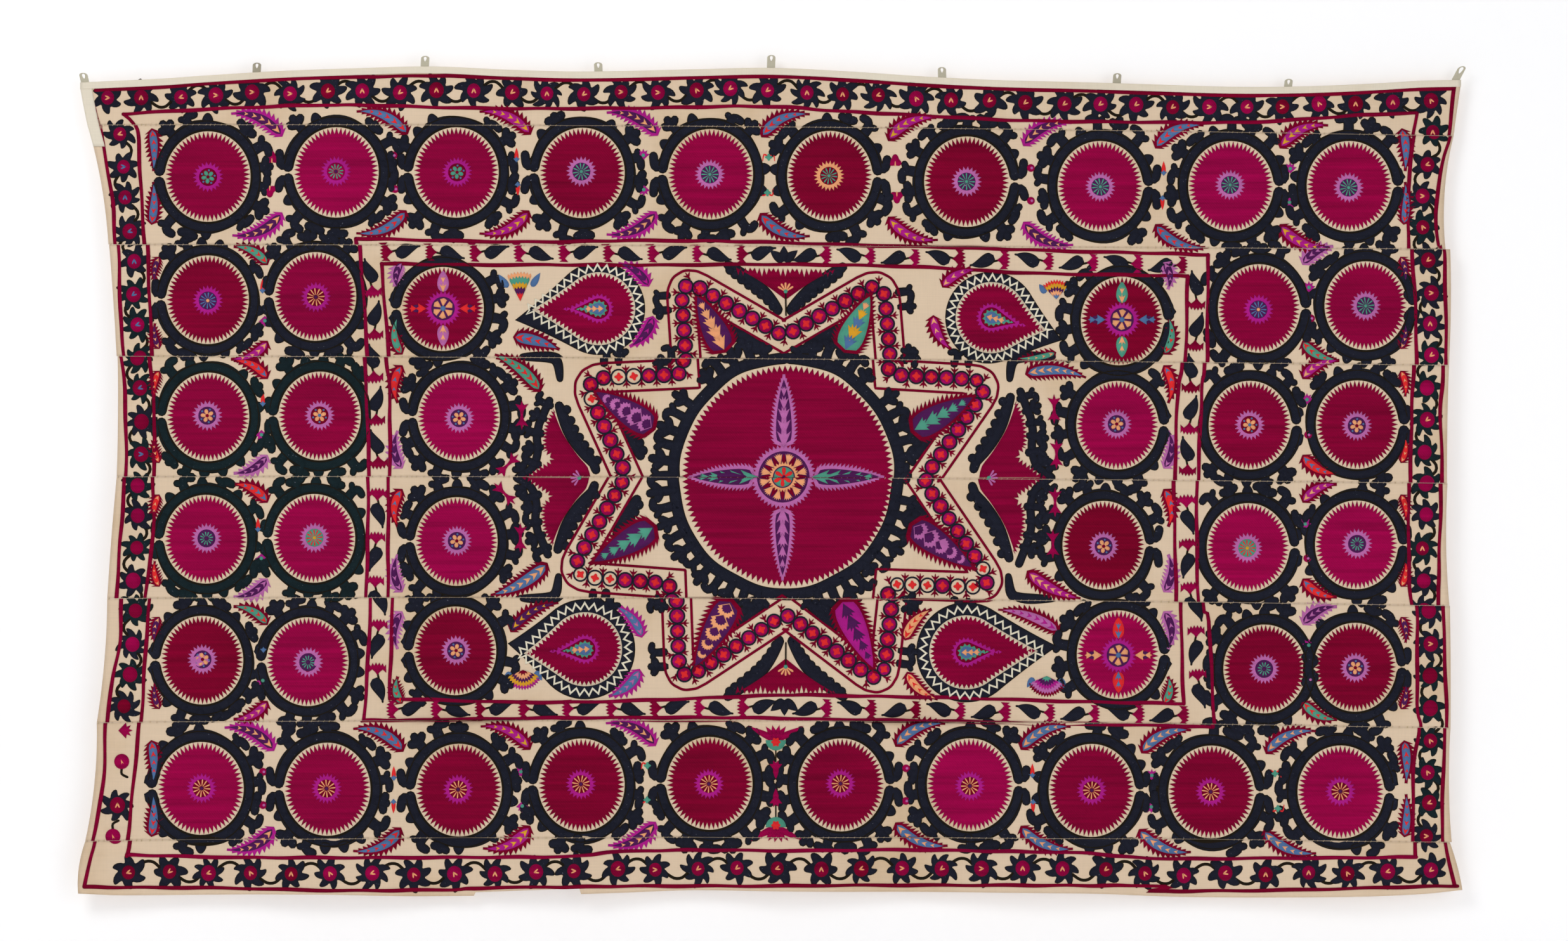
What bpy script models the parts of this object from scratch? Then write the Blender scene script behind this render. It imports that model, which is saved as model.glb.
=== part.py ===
"""A suzani hanging: eight loom widths of cotton sewn edge to edge, with a tape heading and nine loops.

Metres, +Z up. The embroidered front faces -Y, and +X is on the right of someone who looks at it.
The origin is the middle of the top edge, where the hanging is held. The cloth is flat where the
loops hold it and moves off the plane of the wall in soft folds below.
"""

import math
from collections import namedtuple

import bmesh
import bpy

CLOTH = 0.0016            # cotton with the embroidery on it
TAPE = 0.0020             # heading and side tape, folded double
LOOP_TAPE = 0.0016
GAP = 0.0003              # between neighbouring pieces

HEADING_HEIGHT = 0.015
HEADING_LAP = 0.005       # how far the heading covers the top of the first loom width
SIDE_TAPE_WIDTH = 0.025
COLUMNS = 50              # steps across the cloth

LOOP_WIDTH = 0.018
LOOP_LEG = 0.0085         # the sewn ends behind the heading
LOOP_EYE_UP = 0.55        # of the eye's width, from its widest place to its upper end
LOOP_EYE_DOWN = 1.10      # of the eye's width, from its widest place to its lower end
LOOP_CROWN = 0.0022       # tape above the eye
LOOP_TURN = 0.0012        # one leg lies this much in front of the other
LOOP_STEPS = 24

FLAT_TOP = 0.020          # depth of cloth that the heading keeps flat
FOLD_START = 0.30         # the folds reach their full depth this far below
HEM_FOLD = 0.0080
HEM_FOLD_PITCH = 0.58
NAIL_FOLD = 0.0028
NAIL_FOLD_REACH = 0.45
LOOP_PITCH = 0.3737
BELLY = 0.0050            # the middle stands this far off the wall
SIDE_CURL = 0.0100
SIDE_CURL_REACH = 0.070
LEFT_CORNER_FLARE = 0.0110
RIGHT_CORNER_FLARE = 0.0070
CORNER_REACH = 0.26

COTTON = (0.72, 0.60, 0.40, 1.0)
HEADING_COTTON = (0.69, 0.63, 0.50, 1.0)
LOOP_COTTON = (0.62, 0.57, 0.44, 1.0)
COTTON_ROUGHNESS = 0.92

At = namedtuple("At", "x z")
LoomWidth = namedtuple("LoomWidth", "name left middle_left low_left right middle_right low_right rows")
Seam = namedtuple("Seam", "left middle right")
Loop = namedtuple("Loop", "x rise lean eye")

TOP_EDGE = (
    At(-1.500, -0.032), At(-1.312, -0.023), At(-1.229, -0.017), At(-1.064, -0.007), At(-0.899, -0.001),
    At(-0.734, 0.003), At(-0.569, -0.004), At(-0.404, -0.008), At(-0.157, -0.003), At(0.000, 0.000),
    At(0.173, -0.008), At(0.338, -0.019), At(0.503, -0.027), At(0.668, -0.031), At(0.833, -0.036),
    At(1.000, -0.041), At(1.163, -0.040), At(1.328, -0.033), At(1.410, -0.028), At(1.502, -0.026),
)
HEM_EDGE = (
    At(-1.500, -1.788), At(-1.394, -1.793), At(-0.982, -1.791), At(-0.734, -1.796), At(-0.322, -1.788),
    At(-0.157, -1.783), At(0.173, -1.786), At(0.668, -1.789), At(0.916, -1.798), At(1.246, -1.796),
    At(1.410, -1.790), At(1.502, -1.781),
)
LOST_HEM = (At(-0.640, -1.7875), At(-0.411, -1.7770))   # here the hem has worn away up to the last line
LOST_HEM_TEAR = 0.004

SEAMS = (
    Seam(left=-0.1238, middle=-0.1279, right=-0.1471),
    Seam(left=-0.3836, middle=-0.3864, right=-0.3933),
    Seam(left=-0.6256, middle=-0.6311, right=-0.6449),
    Seam(left=-0.8869, middle=-0.8883, right=-0.9006),
    Seam(left=-1.1502, middle=-1.1502, right=-1.1656),
    Seam(left=-1.4190, middle=-1.4149, right=-1.4300),
    Seam(left=-1.6748, middle=-1.6679, right=-1.6775),
)
SEAM_HALF_SPAN = 1.45

TOP_ROWS = (0.0, 0.10, 0.50, 1.0)
FULL_ROWS = (0.0, 0.18, 0.45, 0.72, 1.0)
HEM_ROWS = (0.0, 0.50, 1.0)
LOOM_WIDTHS = (
    LoomWidth("loom_width_1", -1.4953, -1.4880, -1.4795, 1.4974, 1.4891, 1.4816, TOP_ROWS),
    LoomWidth("loom_width_2", -1.4795, -1.4486, -1.4328, 1.4816, 1.4616, 1.4630, FULL_ROWS),
    LoomWidth("loom_width_3", -1.4314, -1.4218, -1.4142, 1.4733, 1.4740, 1.4699, FULL_ROWS),
    LoomWidth("loom_width_4", -1.4121, -1.4108, -1.4135, 1.4699, 1.4658, 1.4651, FULL_ROWS),
    LoomWidth("loom_width_5", -1.4135, -1.4245, -1.4334, 1.4658, 1.4630, 1.4699, FULL_ROWS),
    LoomWidth("loom_width_6", -1.4334, -1.4396, -1.4561, 1.4713, 1.4726, 1.4726, FULL_ROWS),
    LoomWidth("loom_width_7", -1.4561, -1.4609, -1.4809, 1.4726, 1.4692, 1.4754, FULL_ROWS),
    LoomWidth("loom_width_8", -1.4809, -1.4946, -1.4960, 1.4713, 1.4878, 1.4988, HEM_ROWS),
)

LOOPS = (
    Loop(x=-1.4850, rise=0.0206, lean=-0.0045, eye=0.0064),
    Loop(x=-1.1130, rise=0.0210, lean=0.0010, eye=0.0060),
    Loop(x=-0.7485, rise=0.0230, lean=0.0012, eye=0.0060),
    Loop(x=-0.3720, rise=0.0200, lean=-0.0008, eye=0.0060),
    Loop(x=0.0020, rise=0.0280, lean=0.0010, eye=0.0064),
    Loop(x=0.3730, rise=0.0227, lean=-0.0006, eye=0.0060),
    Loop(x=0.7515, rise=0.0220, lean=0.0015, eye=0.0060),
    Loop(x=1.1228, rise=0.0170, lean=0.0020, eye=0.0060),
    Loop(x=1.4860, rise=0.0300, lean=0.0160, eye=0.0084),
)


def smooth_step(value):
    value = min(max(value, 0.0), 1.0)
    return value * value * (3.0 - 2.0 * value)


def edge_height(stations, x):
    """The height of an edge at x: a smooth curve through its stations."""
    x = min(max(x, stations[0].x), stations[-1].x)
    last = len(stations) - 1
    i = 0
    while i < last - 1 and x > stations[i + 1].x:
        i += 1

    def slope(k):
        low, high = stations[max(k - 1, 0)], stations[min(k + 1, last)]
        return (high.z - low.z) / (high.x - low.x)

    here, there = stations[i], stations[i + 1]
    span = there.x - here.x
    t = (x - here.x) / span
    rise = (2 * t ** 3 - 3 * t ** 2 + 1) * here.z + (3 * t ** 2 - 2 * t ** 3) * there.z
    return rise + span * ((t ** 3 - 2 * t ** 2 + t) * slope(i) + (t ** 3 - t ** 2) * slope(i + 1))


def seam_height(seam, x):
    """The height of a seam at x: the parabola through its left, middle and right heights."""
    t = x / SEAM_HALF_SPAN
    tilt = (seam.right - seam.left) / 2
    sag = (seam.right + seam.left) / 2 - seam.middle
    return seam.middle + tilt * t + sag * t * t


def through_three(first, middle, last, v):
    """The parabola that runs from first, through middle at a half, to last."""
    return first + v * (4 * middle - 3 * first - last) + 2 * v * v * (first + last - 2 * middle)


def hem_height(x):
    """The lower edge, with the place where the hem has worn away."""
    whole = edge_height(HEM_EDGE, x)
    start, end = LOST_HEM
    inside = smooth_step((x - start.x) / LOST_HEM_TEAR + 0.5) * smooth_step((end.x - x) / LOST_HEM_TEAR + 0.5)
    worn = start.z + (end.z - start.z) * (x - start.x) / (end.x - start.x)
    return whole + (worn - whole) * inside


def top_of(index, x):
    if index == 0:
        return edge_height(TOP_EDGE, x) - HEADING_HEIGHT + HEADING_LAP
    return seam_height(SEAMS[index - 1], x) - GAP / 2


def bottom_of(index, x):
    if index == len(SEAMS):
        return hem_height(x)
    return seam_height(SEAMS[index], x) + GAP / 2


def side_edges(width, v):
    left = through_three(width.left, width.middle_left, width.low_left, v)
    right = through_three(width.right, width.middle_right, width.low_right, v)
    return left, right


def side_distances(x, z):
    """How far a place is from the left and the right edge of the cloth."""
    for index, width in enumerate(LOOM_WIDTHS):
        low = bottom_of(index, x)
        if z >= low or index == len(SEAMS):
            top = top_of(index, x)
            left, right = side_edges(width, min(max((top - z) / (top - low), 0.0), 1.0))
            return max(x - left, 0.0), max(right - x, 0.0)


def fold_depth(x, z):
    """How far the cloth hangs behind the plane of its top edge: negative, because it all stands in front."""
    below = edge_height(TOP_EDGE, x) - z - FLAT_TOP
    if below <= 0:
        return 0.0
    drop = below / (edge_height(TOP_EDGE, x) - hem_height(x) - FLAT_TOP)
    free = smooth_step(below / FOLD_START)
    hem = math.sin(2 * math.pi * x / HEM_FOLD_PITCH + 1.1 * math.sin(2.1 * x + 0.6) + 0.5 * drop)
    between_nails = 0.5 - 0.5 * math.cos(2 * math.pi * (x - LOOPS[4].x) / LOOP_PITCH)
    from_left, from_right = side_distances(x, z)
    curl = math.exp(-from_left / SIDE_CURL_REACH) + 0.7 * math.exp(-from_right / SIDE_CURL_REACH)
    to_hem = (1 - drop) * 1.7
    forward = HEM_FOLD * drop ** 1.5 * (1 + hem)
    forward += 2 * NAIL_FOLD * between_nails * math.exp(-below / NAIL_FOLD_REACH)
    forward += BELLY * math.sin(math.pi * min(drop, 1.0))
    forward += SIDE_CURL * curl * math.sin(math.pi * min(drop, 1.0) ** 1.2)
    forward += LEFT_CORNER_FLARE * math.exp(-(from_left + to_hem) / CORNER_REACH)
    forward += RIGHT_CORNER_FLARE * math.exp(-(from_right + to_hem) / CORNER_REACH)
    return -forward * free


def cloth_point(index, u, v):
    """A place on the middle of a loom width: u runs across it and v down it, both from 0 to 1."""
    width = LOOM_WIDTHS[index]
    left, right = side_edges(width, v)
    x = left + (right - left) * u
    top, low = top_of(index, x), bottom_of(index, x)
    z = top + (low - top) * v
    return x, fold_depth(x, z), z


def columns_of(index):
    """Steps across a loom width: even, with one where the side tape ends and, in the last, at the lost hem."""
    width = LOOM_WIDTHS[index]
    span = width.low_right - width.low_left
    steps = [i / COLUMNS for i in range(COLUMNS + 1)]
    steps.append(SIDE_TAPE_WIDTH / span)
    if index == len(SEAMS):
        for tear in LOST_HEM:
            steps.append((tear.x - LOST_HEM_TEAR / 2 - width.low_left) / span)
            steps.append((tear.x + LOST_HEM_TEAR / 2 - width.low_left) / span)
    return sorted(steps)


def principled(name, colour):
    material = bpy.data.materials.new(name)
    material.use_nodes = True
    shader = material.node_tree.nodes["Principled BSDF"]
    shader.inputs["Base Color"].default_value = colour
    shader.inputs["Roughness"].default_value = COTTON_ROUGHNESS
    shader.inputs["Metallic"].default_value = 0.0
    return material


def new_piece(name, bm, colour, parent):
    bmesh.ops.recalc_face_normals(bm, faces=bm.faces)
    mesh = bpy.data.meshes.new(name)
    bm.to_mesh(mesh)
    bm.free()
    mesh.materials.append(principled(name, colour))
    mesh.shade_smooth()
    mesh.set_sharp_from_angle(angle=math.radians(40))
    piece = bpy.data.objects.new(name, mesh)
    bpy.context.scene.collection.objects.link(piece)
    piece.parent = parent
    return piece


def sheet_from(rows, thickness, front):
    """A sheet from rows of places on its middle: the front is laid first, then extruded to the back."""
    bm = bmesh.new()
    grid = [[bm.verts.new((x, y + front, z)) for x, y, z in row] for row in rows]
    faces = []
    for upper, lower in zip(grid, grid[1:]):
        for i in range(len(upper) - 1):
            faces.append(bm.faces.new((upper[i], lower[i], lower[i + 1], upper[i + 1])))
    back = bmesh.ops.extrude_face_region(bm, geom=faces)["geom"]
    moved = [v for v in back if isinstance(v, bmesh.types.BMVert)]
    bmesh.ops.translate(bm, verts=moved, vec=(0, thickness, 0))
    return bm


def make_loom_width(index, parent):
    width = LOOM_WIDTHS[index]
    columns = columns_of(index)
    rows = [[cloth_point(index, u, v) for u in columns] for v in width.rows]
    return new_piece(width.name, sheet_from(rows, CLOTH, -CLOTH / 2), COTTON, parent)


def make_heading(parent):
    """The tape along the top edge, sewn on the front with its lower edge over the first loom width."""
    width = LOOM_WIDTHS[0]
    rows = []
    for down in (0.0, HEADING_HEIGHT):
        row = []
        for u in columns_of(0):
            x = width.left + (width.right - width.left) * u
            row.append((x, 0.0, edge_height(TOP_EDGE, x) - down))
        rows.append(row)
    front = -CLOTH / 2 - GAP - TAPE
    return new_piece("heading_tape", sheet_from(rows, TAPE, front), HEADING_COTTON, parent)


def make_side_tape(parent):
    """The short tape down the upper left edge, on the front of the first two loom widths."""
    columns = columns_of(0)[:2]
    below_heading = (HEADING_LAP + GAP) / (top_of(0, -1.49) - bottom_of(0, -1.49))
    places = [(0, below_heading), (0, TOP_ROWS[2]), (0, TOP_ROWS[3]), (1, FULL_ROWS[1])]
    rows = [[cloth_point(index, u, v) for u in columns] for index, v in places]
    front = -CLOTH / 2 - GAP - TAPE
    return new_piece("side_tape", sheet_from(rows, TAPE, front), HEADING_COTTON, parent)


def loop_ring(loop, step):
    """One place on the outer edge of a loop and the place across from it on its eye, above the heading's edge."""
    angle = 2 * math.pi * step / LOOP_STEPS
    across, up = math.cos(angle), math.sin(angle)
    half, eye_half = LOOP_WIDTH / 2, loop.eye / 2
    eye_up, eye_down = loop.eye * LOOP_EYE_UP, loop.eye * LOOP_EYE_DOWN
    eye_centre = loop.rise - LOOP_CROWN - eye_up
    if up >= 0:
        outer = (half * across, eye_centre + (loop.rise - eye_centre) * up)
        eye = (eye_half * across, eye_centre + eye_up * up)
        return outer, eye
    corner = math.sin(math.pi / 4)
    if abs(across) >= corner:
        outer = (math.copysign(half, across), eye_centre + (eye_centre + LOOP_LEG) * up / corner)
    else:
        outer = (half * across / corner, -LOOP_LEG)
    eye = (eye_half * across * (1 + 0.35 * up), eye_centre + eye_down * up)
    return outer, eye


def make_loop(number, parent):
    """A hairpin of tape: its two legs side by side, with an eye under the crown that hangs on a nail."""
    loop = LOOPS[number]
    edge = edge_height(TOP_EDGE, loop.x)

    def placed(place):
        across, up = place
        above = max(up, 0.0) / loop.rise
        turn = LOOP_TURN * across / (LOOP_WIDTH / 2) * smooth_step(above * 2)
        return loop.x + across + loop.lean * above, turn - LOOP_TAPE / 2, edge + up

    bm = bmesh.new()
    outer = []
    eye = []
    for step in range(LOOP_STEPS):
        outer_place, eye_place = loop_ring(loop, step)
        outer.append(bm.verts.new(placed(outer_place)))
        eye.append(bm.verts.new(placed(eye_place)))
    faces = []
    for i in range(LOOP_STEPS):
        j = (i + 1) % LOOP_STEPS
        faces.append(bm.faces.new((outer[i], outer[j], eye[j], eye[i])))
    back = bmesh.ops.extrude_face_region(bm, geom=faces)["geom"]
    moved = [v for v in back if isinstance(v, bmesh.types.BMVert)]
    bmesh.ops.translate(bm, verts=moved, vec=(0, LOOP_TAPE, 0))
    return new_piece(f"loop_{number + 1}", bm, LOOP_COTTON, parent)


def main():
    for old in list(bpy.data.objects):
        bpy.data.objects.remove(old, do_unlink=True)
    hanging = bpy.data.objects.new("hanging", None)
    bpy.context.scene.collection.objects.link(hanging)
    for index in range(len(LOOM_WIDTHS)):
        make_loom_width(index, hanging)
    make_heading(hanging)
    make_side_tape(hanging)
    for number in range(len(LOOPS)):
        make_loop(number, hanging)


main()
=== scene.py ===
"""The looks of a suzani hanging: loom widths of cotton with couched silk rounds, leaves and borders.

Metres, +Z up. The embroidered front faces -Y. Motifs are drawn flat, as complex numbers x + z*i, and are
then laid on the folds of the cloth as closed shapes of low relief, which show on the back as well.
"""

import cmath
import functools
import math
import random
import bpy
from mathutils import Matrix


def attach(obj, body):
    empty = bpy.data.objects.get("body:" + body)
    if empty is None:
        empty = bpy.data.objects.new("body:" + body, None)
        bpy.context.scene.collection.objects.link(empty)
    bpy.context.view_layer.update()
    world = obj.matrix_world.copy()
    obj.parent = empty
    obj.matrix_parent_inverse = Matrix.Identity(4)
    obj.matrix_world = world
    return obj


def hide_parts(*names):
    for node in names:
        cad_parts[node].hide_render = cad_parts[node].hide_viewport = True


bl_info = {
    "name": "Suzani hanging",
    "version": (1, 0, 0),
    "blender": (4, 5, 0),
    "location": "View3D > Sidebar > Suzani",
    "description": "Embroidered cotton hanging with rounds, rings, a star and borders",
    "category": "Object",
}

from collections import namedtuple

import bpy
import numpy as np
from mathutils import Vector, geometry

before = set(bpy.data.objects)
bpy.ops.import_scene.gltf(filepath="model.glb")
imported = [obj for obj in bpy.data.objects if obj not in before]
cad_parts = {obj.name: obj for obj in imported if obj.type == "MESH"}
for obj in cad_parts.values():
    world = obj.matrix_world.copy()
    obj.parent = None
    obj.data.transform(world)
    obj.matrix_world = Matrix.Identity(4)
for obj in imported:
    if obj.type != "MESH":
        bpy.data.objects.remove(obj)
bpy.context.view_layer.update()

# The cloth, as it hangs
CLOTH = 0.0016
TAPE = 0.0020
GAP = 0.0003
HEADING_HEIGHT = 0.015
HEADING_LAP = 0.005
SIDE_TAPE_WIDTH = 0.025
FLAT_TOP = 0.020
FOLD_START = 0.30
HEM_FOLD = 0.0080
HEM_FOLD_PITCH = 0.58
HEM_FOLD_LEAN = 0.5
HEM_DRIFT = 1.1
HEM_DRIFT_RATE = 2.1
HEM_DRIFT_START = 0.6
NAIL_FOLD = 0.0028
NAIL_FOLD_REACH = 0.45
LOOP_PITCH = 0.3737
BELLY = 0.0050
SIDE_CURL = 0.0100
SIDE_CURL_REACH = 0.070
RIGHT_CURL_SHARE = 0.7
FREE_DROP = 1.7
LEFT_CORNER_FLARE = 0.0110
RIGHT_CORNER_FLARE = 0.0070
CORNER_REACH = 0.26
SEAM_HALF_SPAN = 1.45
LOST_HEM_TEAR = 0.004
CLOTH_GRID = 0.012

At = namedtuple("At", "x z")
LoomWidth = namedtuple("LoomWidth", "name left middle_left low_left right middle_right low_right slip")
Seam = namedtuple("Seam", "left middle right")
Loop = namedtuple("Loop", "x rise lean eye")
Pucker = namedtuple("Pucker", "wave turn depth phase")
Crease = namedtuple("Crease", "x z length turn width depth")

TOP_EDGE = (
    At(-1.500, -0.032), At(-1.312, -0.023), At(-1.229, -0.017), At(-1.064, -0.007), At(-0.899, -0.001),
    At(-0.734, 0.003), At(-0.569, -0.004), At(-0.404, -0.008), At(-0.157, -0.003), At(0.000, 0.000),
    At(0.173, -0.008), At(0.338, -0.019), At(0.503, -0.027), At(0.668, -0.031), At(0.833, -0.036),
    At(1.000, -0.041), At(1.163, -0.040), At(1.328, -0.033), At(1.410, -0.028), At(1.502, -0.026),
)
HEM_EDGE = (
    At(-1.500, -1.788), At(-1.394, -1.793), At(-0.982, -1.791), At(-0.734, -1.796), At(-0.322, -1.788),
    At(-0.157, -1.783), At(0.173, -1.786), At(0.668, -1.789), At(0.916, -1.798), At(1.246, -1.796),
    At(1.410, -1.790), At(1.502, -1.781),
)
LOST_HEM = (At(-0.640, -1.7875), At(-0.411, -1.7770))
SEAMS = (
    Seam(left=-0.1238, middle=-0.1279, right=-0.1471),
    Seam(left=-0.3836, middle=-0.3864, right=-0.3933),
    Seam(left=-0.6256, middle=-0.6311, right=-0.6449),
    Seam(left=-0.8869, middle=-0.8883, right=-0.9006),
    Seam(left=-1.1502, middle=-1.1502, right=-1.1656),
    Seam(left=-1.4190, middle=-1.4149, right=-1.4300),
    Seam(left=-1.6748, middle=-1.6679, right=-1.6775),
)
LOOM_WIDTHS = (
    LoomWidth("loom_width_1", -1.4953, -1.4880, -1.4795, 1.4974, 1.4891, 1.4816, -0.006),
    LoomWidth("loom_width_2", -1.4795, -1.4486, -1.4328, 1.4816, 1.4616, 1.4630, -0.003),
    LoomWidth("loom_width_3", -1.4314, -1.4218, -1.4142, 1.4733, 1.4740, 1.4699, 0.004),
    LoomWidth("loom_width_4", -1.4121, -1.4108, -1.4135, 1.4699, 1.4658, 1.4651, -0.002),
    LoomWidth("loom_width_5", -1.4135, -1.4245, -1.4334, 1.4658, 1.4630, 1.4699, -0.005),
    LoomWidth("loom_width_6", -1.4334, -1.4396, -1.4561, 1.4713, 1.4726, 1.4726, 0.005),
    LoomWidth("loom_width_7", -1.4561, -1.4609, -1.4809, 1.4726, 1.4692, 1.4754, 0.001),
    LoomWidth("loom_width_8", -1.4809, -1.4946, -1.4960, 1.4713, 1.4878, 1.4988, 0.006),
)
LOOPS = (
    Loop(x=-1.4850, rise=0.0206, lean=-0.0045, eye=0.0064),
    Loop(x=-1.1130, rise=0.0210, lean=0.0010, eye=0.0060),
    Loop(x=-0.7485, rise=0.0230, lean=0.0012, eye=0.0060),
    Loop(x=-0.3720, rise=0.0200, lean=-0.0008, eye=0.0060),
    Loop(x=0.0020, rise=0.0280, lean=0.0010, eye=0.0064),
    Loop(x=0.3730, rise=0.0227, lean=-0.0006, eye=0.0060),
    Loop(x=0.7515, rise=0.0220, lean=0.0015, eye=0.0060),
    Loop(x=1.1228, rise=0.0170, lean=0.0020, eye=0.0060),
    Loop(x=1.4860, rise=0.0300, lean=0.0160, eye=0.0084),
)
LOOP_WIDTH = 0.018
LOOP_LEG = 0.0085
LOOP_EYE_UP = 0.55
LOOP_EYE_DOWN = 1.10
LOOP_CROWN = 0.0022
LOOP_TURN = 0.0012
LOOP_TAPE = 0.0016
LOOP_STEPS = 56
# How far in from the outer edge, and how far out of the middle of the tape
LOOP_SECTION = (
    (0.0, 0.0), (0.06, -0.35), (0.25, -0.5), (0.5, -0.44), (0.75, -0.5), (0.94, -0.35),
    (1.0, 0.0), (0.94, 0.35), (0.75, 0.5), (0.5, 0.46), (0.25, 0.5), (0.06, 0.35),
)

# Small unevenness that the stitching draws up, and the folds in which the hanging was once kept
PUCKER_SWAY = 1.4
PUCKER_SWAY_RATE = 9
CREASE_SWAY = 0.004
CREASE_SWAY_RATE = 17
CREASE_FADE = 0.08
EVEN_TOP = 0.10
PUCKERS = (
    Pucker(wave=0.210, turn=12, depth=0.00050, phase=0.4),
    Pucker(wave=0.131, turn=78, depth=0.00028, phase=2.1),
    Pucker(wave=0.157, turn=-49, depth=0.00032, phase=4.0),
)
CREASES = (
    Crease(x=-1.02, z=-0.90, length=1.55, turn=90, width=0.014, depth=0.0011),
    Crease(x=-0.34, z=-0.95, length=1.30, turn=89, width=0.012, depth=0.0008),
    Crease(x=0.37, z=-0.88, length=1.40, turn=91, width=0.013, depth=0.0009),
    Crease(x=1.09, z=-0.97, length=1.45, turn=90, width=0.014, depth=0.0011),
    Crease(x=0.10, z=-0.45, length=2.50, turn=-0.6, width=0.012, depth=0.0007),
    Crease(x=-0.05, z=-1.28, length=2.60, turn=0.4, width=0.013, depth=0.0008),
    Crease(x=-1.25, z=-0.28, length=0.42, turn=-52, width=0.018, depth=-0.0014),
    Crease(x=1.27, z=-0.30, length=0.46, turn=50, width=0.018, depth=-0.0013),
    Crease(x=-1.30, z=-1.55, length=0.36, turn=58, width=0.017, depth=-0.0012),
    Crease(x=1.30, z=-1.52, length=0.34, turn=-60, width=0.016, depth=-0.0011),
)


def smooth_step(value):
    value = np.clip(value, 0.0, 1.0)
    return value * value * (3.0 - 2.0 * value)


def edge_height(stations, x):
    """The height of an edge at x: a smooth curve through its stations."""
    across = np.array([station.x for station in stations])
    heights = np.array([station.z for station in stations])
    last = len(stations) - 1
    low = np.maximum(np.arange(last + 1) - 1, 0)
    high = np.minimum(np.arange(last + 1) + 1, last)
    slopes = (heights[high] - heights[low]) / (across[high] - across[low])
    x = np.clip(x, across[0], across[-1])
    i = np.clip(np.searchsorted(across, x, side="left") - 1, 0, last - 1)
    span = across[i + 1] - across[i]
    t = (x - across[i]) / span
    rise = (2 * t ** 3 - 3 * t ** 2 + 1) * heights[i] + (3 * t ** 2 - 2 * t ** 3) * heights[i + 1]
    return rise + span * ((t ** 3 - 2 * t ** 2 + t) * slopes[i] + (t ** 3 - t ** 2) * slopes[i + 1])


def seam_height(seam, x):
    """The height of a seam at x: the parabola through its left, middle and right heights."""
    t = x / SEAM_HALF_SPAN
    tilt = (seam.right - seam.left) / 2
    sag = (seam.right + seam.left) / 2 - seam.middle
    return seam.middle + tilt * t + sag * t * t


def through_three(first, middle, last, v):
    return first + v * (4 * middle - 3 * first - last) + 2 * v * v * (first + last - 2 * middle)


def hem_height(x):
    """The lower edge, with the place where the hem has worn away."""
    whole = edge_height(HEM_EDGE, x)
    start, end = LOST_HEM
    inside = smooth_step((x - start.x) / LOST_HEM_TEAR + 0.5)
    inside = inside * smooth_step((end.x - x) / LOST_HEM_TEAR + 0.5)
    worn = start.z + (end.z - start.z) * (x - start.x) / (end.x - start.x)
    return whole + (worn - whole) * inside


def top_of(index, x):
    if index == 0:
        return edge_height(TOP_EDGE, x) - HEADING_HEIGHT + HEADING_LAP
    return seam_height(SEAMS[index - 1], x) - GAP / 2


def bottom_of(index, x):
    if index == len(SEAMS):
        return hem_height(x)
    return seam_height(SEAMS[index], x) + GAP / 2


def side_edges(width, v):
    left = through_three(width.left, width.middle_left, width.low_left, v)
    right = through_three(width.right, width.middle_right, width.low_right, v)
    return left, right


def side_distances(x, z):
    """How far places are from the left and the right edge of the cloth."""
    from_left = np.zeros_like(x)
    from_right = np.zeros_like(x)
    left_over = np.ones(x.shape, bool)
    for index, width in enumerate(LOOM_WIDTHS):
        top, low = top_of(index, x), bottom_of(index, x)
        here = left_over & ((z >= low) | (index == len(SEAMS)))
        left, right = side_edges(width, np.clip((top - z) / (top - low), 0.0, 1.0))
        from_left[here] = np.maximum(x - left, 0.0)[here]
        from_right[here] = np.maximum(right - x, 0.0)[here]
        left_over &= ~here
    return from_left, from_right


def fold_depth(x, z):
    """How far the cloth is behind the plane of its top edge: below 0, because it stands in front."""
    below = edge_height(TOP_EDGE, x) - z - FLAT_TOP
    drop = np.maximum(below / (edge_height(TOP_EDGE, x) - hem_height(x) - FLAT_TOP), 0.0)
    free = smooth_step(below / FOLD_START)
    drift = HEM_DRIFT * np.sin(HEM_DRIFT_RATE * x + HEM_DRIFT_START)
    hem = np.sin(2 * np.pi * x / HEM_FOLD_PITCH + drift + HEM_FOLD_LEAN * drop)
    between_nails = 0.5 - 0.5 * np.cos(2 * np.pi * (x - LOOPS[4].x) / LOOP_PITCH)
    from_left, from_right = side_distances(x, z)
    curl = np.exp(-from_left / SIDE_CURL_REACH) + RIGHT_CURL_SHARE * np.exp(-from_right / SIDE_CURL_REACH)
    to_hem = (1 - drop) * FREE_DROP
    forward = HEM_FOLD * drop ** 1.5 * (1 + hem)
    forward += 2 * NAIL_FOLD * between_nails * np.exp(-np.maximum(below, 0.0) / NAIL_FOLD_REACH)
    forward += BELLY * np.sin(np.pi * np.minimum(drop, 1.0))
    forward += SIDE_CURL * curl * np.sin(np.pi * np.minimum(drop, 1.0) ** 1.2)
    forward += LEFT_CORNER_FLARE * np.exp(-(from_left + to_hem) / CORNER_REACH)
    forward += RIGHT_CORNER_FLARE * np.exp(-(from_right + to_hem) / CORNER_REACH)
    return np.where(below > 0, -forward * free, 0.0)


def turned_axes(x, z, degrees):
    """How far places are along and across a line that is turned by some degrees."""
    turn = math.radians(degrees)
    return x * math.cos(turn) + z * math.sin(turn), z * math.cos(turn) - x * math.sin(turn)


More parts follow.
